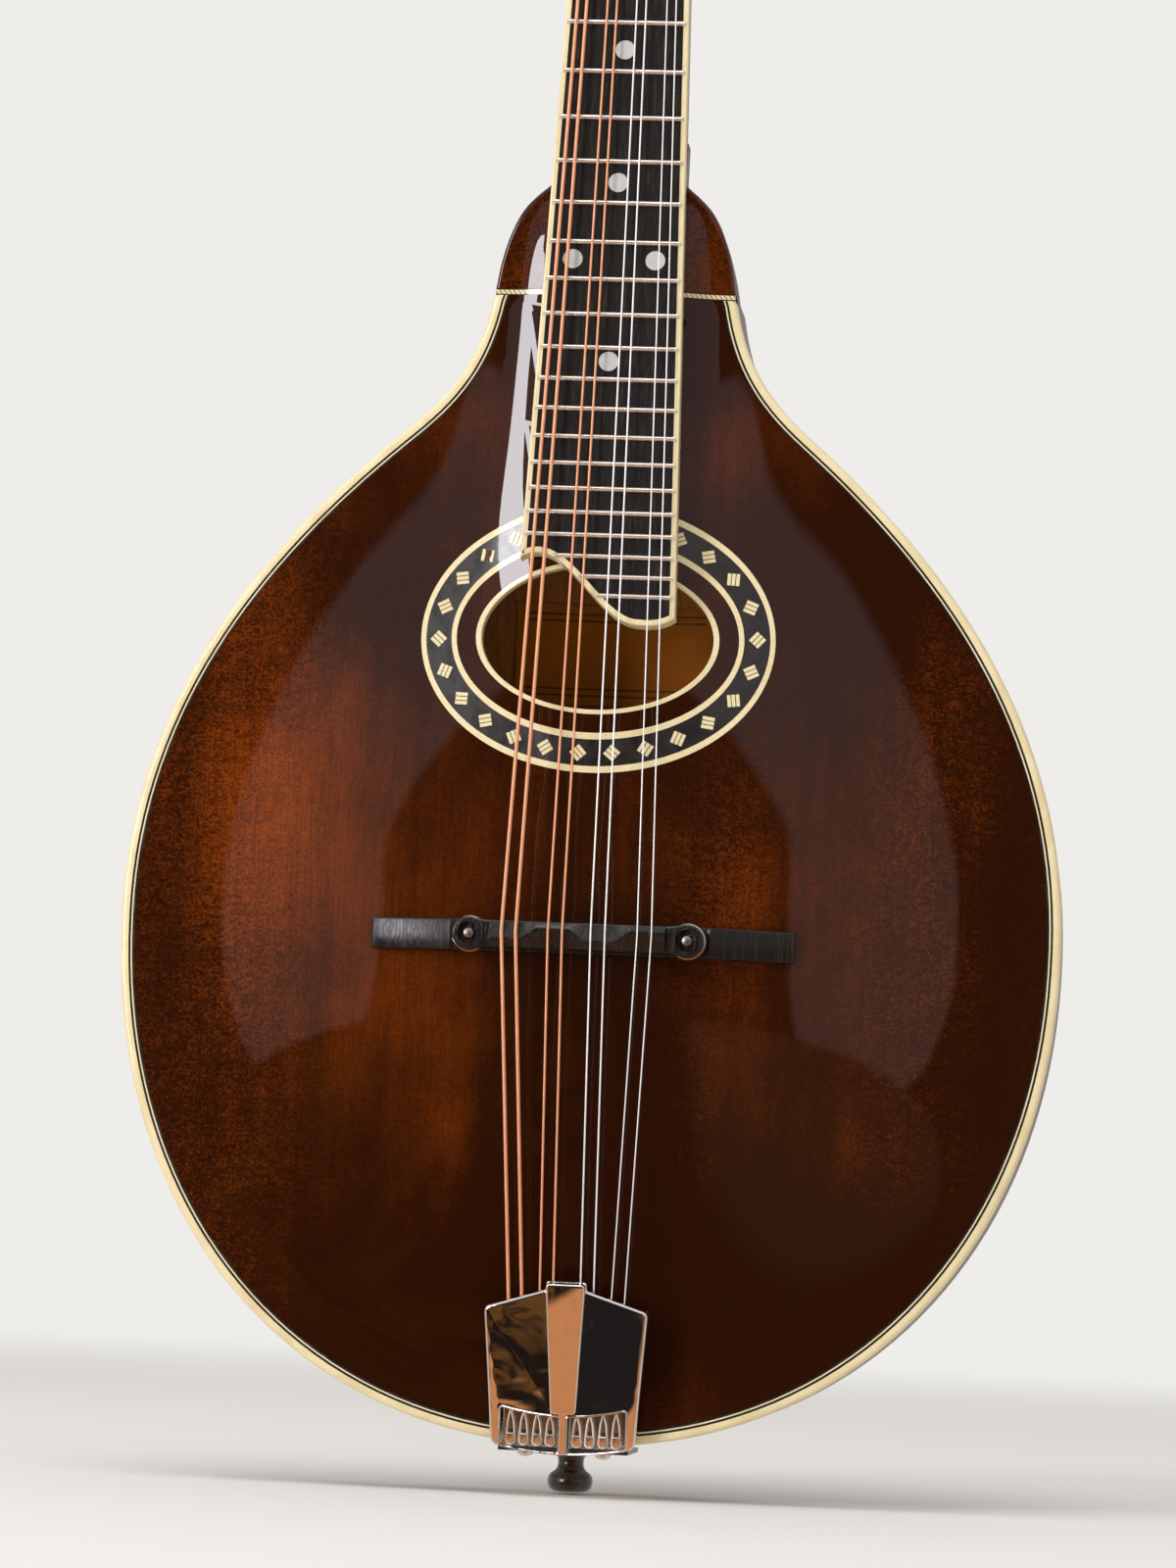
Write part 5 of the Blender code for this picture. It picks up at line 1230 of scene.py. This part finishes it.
def make_tuners():
    bushing = turned(((3.12, -1.5), (4.9, -1.5), (4.9, -2.1), (4.5, -2.5), (3.5, -2.7),
                      (3.12, -2.6)), 36, "Y", hollow=True)
    gear = cut(slab(gear_outline(), 17.4, 19.2), rod(2.95, 10, 25, 32))
    half_turn = Matrix.Rotation(math.pi, 4, "X")
    for side, sign in (("bass", -1), ("treble", 1)):
        for number, z in enumerate(POST_ZS, 1):
            label = "%s_%d" % (side, number)
            at_post = HEAD @ Matrix.Translation((sign * POST_X, 0.0, z))
            at_worm = (at_post @ Matrix.Translation((0.0, GEAR_MIDDLE_Y, WORM_OFFSET_Z))
                       @ Matrix.Rotation(0.0 if sign > 0 else math.pi, 4, "Z"))
            screw = shifted(moved(screw_mesh(2.3, 0.9, 0.5), half_turn), y=19.4)
            post = "post_" + label
            knob = "knob_" + label
            piece(post, moved(post_mesh(), at_post), NICKEL, post, ["tuner_" + post])
            piece("gear_" + label, moved(gear.copy(), at_post), BRASS, post)
            piece("gear_screw_" + label, moved(screw, at_post), STEEL, post)
            piece("worm_" + label, moved(worm_mesh(), at_worm), NICKEL, knob, ["tuner_" + knob])
            piece("button_" + label, moved(button_mesh(), at_worm), BUTTON_PEARL, knob)
            piece("bushing_" + label, moved(bushing.copy(), at_post), NICKEL)
        plate = plate_mesh_for_tuners()
        if sign < 0:
            plate = mirrored_mesh(plate)
        piece("machine_plate_" + side, moved(plate, HEAD), NICKEL, "root", ["tuner_plate_" + side])
        for number, z in enumerate((30.6, 53.4, 76.4, 99.4, 114.4), 1):
            screw = shifted(moved(screw_mesh(1.5, 0.8, 0.35), half_turn), sign * 15.4, 15.5, z)
            piece("plate_screw_%s_%d" % (side, number), moved(screw, HEAD), STEEL)


# Bridge

def height(value):
    """Y of a point at a height in front of the rim plane."""
    return RIM_FRONT_Y - value


def base_section(x):
    """Rounded section of the bridge base at one place along it."""
    place = abs(x)
    bottom = float(top_arch(x, BRIDGE_Z)) + 0.06
    wing = bottom + 2.74 + 3.7 * max(0.0, 1 - (place - 34.6) / 22.6) ** 2
    bottom += 1.5 * smooth(-place, -12.6, -11.0)
    step = smooth(place, 34.0, 35.3)
    top = 20.0 * (1 - step) + wing * step
    tip = max(0.0, 1 - max(0.0, (place / BRIDGE_REACH - 0.985) / 0.015) ** 2) ** 0.5
    half = 4.2 * (0.9 + 0.1 * tip)
    top = bottom + (top - bottom) * (0.8 + 0.2 * tip)
    edge = 0.6
    section = [(-half, bottom), (-half, top - edge), (-half + 0.3 * edge, top - 0.3 * edge),
               (-half + edge, top), (half - edge, top), (half - 0.3 * edge, top - 0.3 * edge),
               (half, top - edge), (half, bottom)]
    return [(x, height(h), BRIDGE_Z + z) for z, h in section]


CREST = ((-23.5, -1.2), (-15.2, -1.2), (-11.0, 1.5), (-2.2, 1.5), (1.8, -1.2), (10.0, -1.2),
         (14.0, 1.6), (23.5, 1.6))


def ridge_mesh():
    """The saddle's crest, set back and forward to tune each pair of strings."""
    rows = []
    for x in np.linspace(-23.5, 23.5, 95):
        crest = np.interp(x, *np.array(CREST).T)
        section = ((-3.35, 27.6), (-3.3, 28.25), (crest - 0.55, 29.72), (crest - 0.2, 29.86),
                   (crest + 0.2, 29.86), (crest + 0.55, 29.72), (3.3, 28.25), (3.35, 27.6))
        rows.append([(x, height(h), BRIDGE_Z + z) for z, h in section])
    return lofted(rows)


def saddle_outline():
    """Round ends over the wheels and a narrower middle."""
    end = [(WHEEL_X + 4.4 * math.cos(a), 4.4 * math.sin(a))
           for a in np.linspace(-math.pi * 0.62, math.pi * 0.62, 25)]
    half = np.array([(0.0, -3.5), (24.4, -3.6)] + end + [(24.4, 3.6)])
    return np.concatenate((half, mirrored(half)[:-1])) + (0.0, BRIDGE_Z)


def bridge_bores(radius, end_y, steps):
    """Cutters along both of the bridge's posts."""
    return merged([shifted(rod(radius, height(40), end_y, steps), x=x, z=BRIDGE_Z)
                   for x in (-WHEEL_X, WHEEL_X)])


def make_bridge():
    places = [np.linspace(-BRIDGE_REACH, BRIDGE_REACH, 89)]
    for span in ((33.9, 35.4, 7), (53.8, BRIDGE_REACH, 9), (10.8, 12.8, 6)):
        places += [np.linspace(*span), -np.linspace(*span)]
    places = np.unique(np.concatenate(places))
    base = lofted([base_section(x) for x in places])
    piece("bridge_foot", cut(base, bridge_bores(1.8, 0.0, 24)), BRIDGE_EBONY, "root",
          ["bridge_base"])
    saddle = join(slab(saddle_outline(), height(28.25), height(23.9), 0.7, 0.3), ridge_mesh())
    saddle = cut(saddle, bridge_bores(1.8, 0.0, 24), bridge_bores(2.9, height(26.6), 32))
    piece("bridge_top", saddle, BRIDGE_EBONY, "saddle", ["bridge_saddle"], 30.0)
    for side, x in (("bass", -WHEEL_X), ("treble", WHEEL_X)):
        rim = []
        for i, angle in enumerate(full_turn(44 * 3)):
            radius = 4.9 if i % 3 else 4.72
            rim.append((radius * math.cos(angle), radius * math.sin(angle)))
        wheel = cut(slab(rim, 0.0, 1.6, 0.2, 0.2, 2), rod(1.75, -1, 3, 28))
        piece("wheel_" + side, shifted(wheel, x, height(23.6), BRIDGE_Z), NICKEL, "wheel_" + side,
              ["thumbwheel_" + side])
        start = 27.4
        end = float(top_arch(x, BRIDGE_Z)) + 1.2
        profile = [(0.0, start), (1.1, start), (1.45, start - 0.3)]
        profile += [(1.5 if i % 2 else 1.22, start - 0.3 - 0.25 * i)
                    for i in range(int((start - end - 0.6) / 0.25))]
        post = turned([(r, height(h)) for r, h in profile + [(1.3, end), (0.0, end)]], 24, "Y")
        piece("threaded_post_" + side, shifted(post, x=x, z=BRIDGE_Z), POST_STEEL, "root",
              ["bridge_post_" + side], 60.0)


# Tailpiece and end pin

def window_outline(grow=0.0):
    """The treble window of the tailpiece cover, in the tailpiece's frame."""
    x = np.linspace(1.1, 17.0, 9)
    bottom = np.stack((x, -0.4 + 1.7 * (x / 17.0) ** 2), 1)
    top = np.stack((x, 9.7 + 2.2 * (x / 17.0) ** 2), 1)[::-1]
    radii = np.zeros(18)
    radii[[0, 8, 9, 17]] = 0.7
    return offset(rounded(np.concatenate((bottom, top)), radii), -grow, closed=True)


def cover_outline():
    x = np.linspace(0.0, 16.0, 8)[1:]
    bottom = np.stack((x, -0.9 + 1.7 * (x / 17.0) ** 2), 1)
    half = np.concatenate((bottom, ((19.4, 1.4), (22.1, 38.5), (5.6, 43.9), (5.4, 46.2))))
    radii = np.concatenate((np.zeros(len(bottom)), (2.4, 2.0, 0.6, 0.7)))
    return rounded(np.concatenate((half, mirrored(half))), np.concatenate((radii, radii[::-1])), 7)


def roofed(mesh):
    """Slope both halves of the cover slightly away from a crease along its middle."""
    builder = bmesh.new()
    builder.from_mesh(mesh)
    everything = list(builder.verts) + list(builder.edges) + list(builder.faces)
    bmesh.ops.bisect_plane(builder, geom=everything, plane_co=(0, 0, 0), plane_no=(1, 0, 0))
    for vertex in builder.verts:
        vertex.co.y += 0.035 * abs(vertex.co.x)
    builder.to_mesh(mesh)
    builder.free()
    return mesh


def make_tailpiece():
    shell = slab(cover_outline(), -2.1, 4.2, 0.9, 0.0, 5)
    slope = 2.7 / 37.1
    hollow = np.array(((18.5 - 12 * slope, -10.6), (18.5 + 62 * slope, 63.4)))
    hollow = slab(np.concatenate((hollow, mirrored(hollow))), -1.2, 9, 0.6)
    windows = [slab(outline, -6, -0.4)
               for outline in (window_outline(), mirrored(window_outline()))]
    cover = roofed(cut(cut(shell, hollow), merged(windows)))
    piece("cover", moved(cover, TAIL), COVER_CHROME, "cover", ["tailpiece_cover"], 30.0)
    rims = [tube(standing(outline, -2.06), 0.26, 8, closed=True)
            for outline in (window_outline(0.12), mirrored(window_outline(0.12)))]
    piece("cover_window_rims", moved(roofed(merged(rims)), TAIL), COVER_CHROME, "cover")
    strip = np.array(((3.4, 10.4), (5.3, 46.0)))
    strip = slab(rounded(np.concatenate((strip, mirrored(strip))), 1.0), -2.7, -1.5, 0.5, 0.0, 4)
    for vertex in strip.vertices:
        if vertex.co.y < -1.9:
            vertex.co.y -= 0.055 * (vertex.co.z - 10.4)
    piece("cover_strip", moved(strip, TAIL), STRIP_CHROME, "cover", (), 30.0)

    plate = slab(rounded(rectangle(-17.5, 17.5, -0.4, 34), 1.0), 1.9, 3.1, 0.3)
    tab = rounded(rectangle(-0.95, 0.95, 1.4, 4.5), (0.9, 0.9, 0.3, 0.3))
    hooks = merged([shifted(slab(tab, -0.8, 2.2, 0.4), x=x)
                    for spread in HOOK_SPREAD for x in (-spread, spread)])
    base = join(moved(plate, TAIL), moved(hooks, TAIL), box((-17.5, -24.6, 11.4), (17.5, 8, 12.6)))
    base = cut(base, rod(4.0, 5, 20, 32, "Z"))
    piece("hook_plate", base, NICKEL, "root", ["tailpiece_base"], 30.0)
    for side, x in (("bass", -10.5), ("treble", 10.5)):
        screw = moved(screw_mesh(2.3, 1.6, 0.55), Matrix.Rotation(math.pi / 2, 4, "X"))
        piece("tail_screw_" + side, shifted(screw, x, -20.6, 11.4), NICKEL)


def make_end_pin():
    pin = turned(((0.0, 0.0), (4.0, 0.0), (4.9, 0.25), (5.7, 1.0), (6.1, 2.2), (6.15, 3.2),
                  (5.95, 4.2), (5.3, 5.1), (4.3, 5.8), (3.8, 6.4), (3.5, 7.4), (3.45, 8.6),
                  (3.7, 9.5), (4.4, 10.1), (5.0, 10.4), (5.05, 10.9), (4.7, 11.1), (3.9, 11.3),
                  (3.4, 30.5), (0.0, 30.5)), 48)
    piece("strap_pin", pin, PIN_EBONY, "root", ["end_pin"], 45.0)


# Strings

def string_points(sign, order, radius):
    """Loop's end, saddle and nut, then a winding round the post."""
    apex = TAIL @ Vector((sign * HOOK_SPREAD[order], 0.0, 10.4))
    saddle = Vector((sign * SADDLE_SPREAD[order], height(SADDLE_TOP_HEIGHT + 0.1 + radius),
                     BRIDGE_Z + 0.7))
    nut = NECK @ Vector((sign * NUT_SPREAD[order], -1.3 - radius, NUT_Z + 3.2))
    ring = 2.9 + radius
    winding = []
    for turns in np.linspace(0.0, 2.25, 55):
        angle = 2 * math.pi * turns
        winding.append(HEAD @ Vector((sign * (POST_X - ring * math.cos(angle)),
                                      -7.9 + (2 * radius + 0.45) * turns,
                                      POST_ZS[order] + ring * math.sin(angle))))
    stretch = [saddle.lerp(nut, k / 8) for k in range(9)]
    approach = [nut.lerp(winding[0], k / 3) for k in range(1, 3)]
    return [tuple(p) for p in [apex] + stretch + approach + winding]


def loop_points(x, apex_z, wire):
    """The loop at the string's end: an inverted V over its hook, in the tailpiece's frame."""
    arc = [(x + 1.25 * math.cos(a), 0.55, 2.3 + 1.25 * math.sin(a))
           for a in np.linspace(0.0, -math.pi, 13)]
    shoulder_z = apex_z * 0.6 + 1.6
    return ([(x + wire, 0.0, apex_z), (x + 0.75, 0.2, shoulder_z)] + arc
            + [(x - 0.75, 0.2, shoulder_z), (x - wire, 0.0, apex_z)])


def make_strings():
    for index, (name, radius) in enumerate(zip(STRING_NAMES, STRING_RADII)):
        wound = index < 4
        sign = -1 if wound else 1
        order = index % 4
        wire_mesh = tube(string_points(sign, order, radius), radius, 14)
        piece("string_" + name + "_wire", wire_mesh, BRONZE if wound else STEEL, "root",
              ["string_" + name], 60.0)
        x = sign * HOOK_SPREAD[order]
        wire = 0.17 if wound else radius
        share = (HOOK_SPREAD[order] - HOOK_SPREAD[3]) / (HOOK_SPREAD[0] - HOOK_SPREAD[3])
        apex_z = 9.2 + 1.2 * share
        turns = np.linspace(0.0, 7.0, 113)
        angle = 2 * math.pi * turns
        ring = radius + wire * 0.6
        twist = np.stack((x + ring * np.cos(angle), ring * np.sin(angle),
                          apex_z + 9.0 * turns / turns[-1]), 1)
        loop = merged([tube(loop_points(x, apex_z, wire), wire, 8), tube(twist, wire, 6)])
        piece("string_" + name + "_loop", moved(loop, TAIL), STEEL, "root", (), 60.0)


make_tuners()
make_bridge()
make_tailpiece()
make_end_pin()
make_strings()


# CAD nodes that stay as they are

CAD_PAINTS = {"neck_block": INNER_WOOD, "tail_block": INNER_WOOD, "top_brace": INNER_WOOD,
              "top_lining_bass": INNER_WOOD, "top_lining_treble": INNER_WOOD,
              "back_lining_bass": INNER_WOOD, "back_lining_treble": INNER_WOOD,
              "label": LABEL_PAPER, "truss_rod": STEEL}
for node, paint in CAD_PAINTS.items():
    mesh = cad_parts[node].data
    mesh.materials.clear()
    mesh.materials.append(paint.material)


# Floor, light and camera

def make_floor():
    """A pale floor that fades into the background; reflections see the room instead of it."""
    mesh = finished([(-4, -4, 0), (4, -4, 0), (4, 4, 0), (-4, 4, 0)], [(0, 1, 2, 3)])
    floor = bpy.data.objects.new("floor", mesh)
    floor.location.z = -0.0006
    bpy.context.scene.collection.objects.link(floor)
    paint = Paint("floor_paint", "", (0.80, 0.78, 0.75), Specular_IOR_Level=0.0)
    paint.tint((0.83, 0.81, 0.78), paint.noise(90.0, 90.0, 90.0), eased=False)
    paint.finish(0.9)
    far = paint.add("VectorMath", {0: paint.place}, operation="LENGTH").outputs["Value"]
    path = paint.add("LightPath").outputs
    hidden = paint.calculate("MAXIMUM", paint.step(far, 0.7, 2.4), path["Is Glossy Ray"])
    clear = paint.add("BsdfTransparent").outputs[0]
    mixed = paint.add("MixShader", {0: hidden, 1: paint.shader.outputs[0], 2: clear})
    paint.put(paint.tree.nodes["Material Output"].inputs["Surface"], mixed.outputs[0])
    mesh.materials.append(paint.material)


def make_world():
    """Pale studio for the camera and for soft light, with a darker room in the reflections."""
    world = bpy.data.worlds.new("studio")
    bpy.context.scene.world = world
    world.use_nodes = True
    room = Nodes(world.node_tree)
    room.tree.nodes.clear()
    path = room.add("LightPath").outputs
    direction = room.add("TexCoord").outputs["Generated"]
    axes = room.add("SeparateXYZ", {"Vector": direction}).outputs
    depth = room.calculate("MAXIMUM", room.size(axes["Y"]), 0.02)
    side = room.total(room.calculate("DIVIDE", axes["X"], depth), 0.1135)
    rise = room.calculate("DIVIDE", axes["Z"], depth)
    behind = room.step(axes["Y"], -0.1, 0.3)

    # A dark rounded backdrop in front of a lighter wall
    aside = room.size(side)
    across = room.calculate("POWER", room.calculate("DIVIDE", aside, 0.4135), 2.5)
    reach = room.calculate("MAXIMUM", room.calculate("MULTIPLY_ADD", aside, -0.11, 0.404), 0.3)
    upward = room.calculate("DIVIDE", room.calculate("MAXIMUM", rise, 0.0), reach)
    inside = room.step(room.total(across, room.calculate("POWER", upward, 2.5)), 1.04, 0.96)
    backdrop = room.mix(behind, (0.035, 0.022, 0.02), (0.26, 0.24, 0.22))
    pale = room.calculate("MAXIMUM", behind, room.step(aside, 1.0, 1.5))
    wall = room.mix(room.step(rise, 0.2, 0.34), (0.54, 0.36, 0.32), (0.43, 0.40, 0.42))
    wall = room.mix(pale, wall, (0.60, 0.585, 0.57))
    colour = room.mix(inside, wall, backdrop)
    colour = room.mix(room.step(axes["Z"], 0.42, 0.62), colour, (0.90, 0.88, 0.86))

    # The ground: dark furniture in front of a tan floor
    swirl = room.add("TexNoise", {"Vector": direction, "Scale": 14.0, "Detail": 2.0,
                                  "Distortion": 0.8}).outputs["Fac"]
    ground = room.mix(room.step(swirl, 0.42, 0.62), (0.014, 0.009, 0.007), (0.13, 0.055, 0.016))
    ground = room.mix(room.step(side, 0.0, 0.05), ground, (0.016, 0.013, 0.013))
    ground = room.mix(room.step(side, 0.2, 0.27), ground, (0.20, 0.11, 0.07))
    ground = room.mix(room.step(rise, -0.42, -0.46), ground, (0.62, 0.25, 0.10))
    ground = room.mix(pale, ground, (0.56, 0.53, 0.49))
    colour = room.mix(room.step(rise, -0.072, -0.088), colour, ground)

    colour = room.mix(path["Is Glossy Ray"], (0.62, 0.61, 0.60), colour)
    seen = room.calculate("MAXIMUM", path["Is Camera Ray"], path["Is Transmission Ray"])
    colour = room.mix(seen, colour, (0.86, 0.845, 0.825))
    background = room.add("Background", {"Color": colour, "Strength": 1.0})
    room.add("OutputWorld", {"Surface": background.outputs[0]})


def make_lamp(name, azimuth, elevation, distance, size, power, colour=(1.0, 1.0, 1.0), aim_z=0.2):
    """An area lamp round the body; azimuth 0 is in front of the top, 90 is the treble side."""
    lamp = bpy.data.lights.new(name, "AREA")
    lamp.shape = "RECTANGLE"
    lamp.size = size[0]
    lamp.size_y = size[1]
    lamp.energy = power
    lamp.color = colour
    obj = bpy.data.objects.new(name, lamp)
    a = math.radians(azimuth)
    e = math.radians(elevation)
    away = Vector((math.sin(a) * math.cos(e), -math.cos(a) * math.cos(e), math.sin(e)))
    obj.location = Vector((0.0, 0.0, aim_z)) + away * distance
    obj.rotation_mode = "QUATERNION"
    obj.rotation_quaternion = away.to_track_quat("Z", "Y")
    obj.visible_camera = False
    bpy.context.scene.collection.objects.link(obj)


def make_camera():
    """The photo's camera: its lens and place were fitted to the frets and the body's edge."""
    camera = bpy.data.cameras.new("camera")
    camera.lens = 126.0
    camera.sensor_width = 36.0
    camera.clip_end = 30.0
    obj = bpy.data.objects.new("camera", camera)
    right = Vector((0.9946, 0.0937, 0.0441))
    up = Vector((-0.0357, -0.0903, 0.9953))
    back = Vector((0.0972, -0.9915, -0.0865))
    turn = Matrix((right, up, back)).transposed()
    obj.matrix_world = Matrix.Translation((0.14319, -1.49703, 0.06278)) @ turn.to_4x4()
    bpy.context.scene.collection.objects.link(obj)
    bpy.context.scene.camera = obj


make_floor()
make_world()
make_lamp("window", -39.3, 10.0, 2.4, (0.53, 1.3), 32.0, (0.97, 0.955, 1.0))
make_lamp("ceiling", -15.0, 72.0, 2.2, (1.4, 1.4), 19.0)
make_camera()

bpy.context.scene.view_settings.view_transform = "Standard"
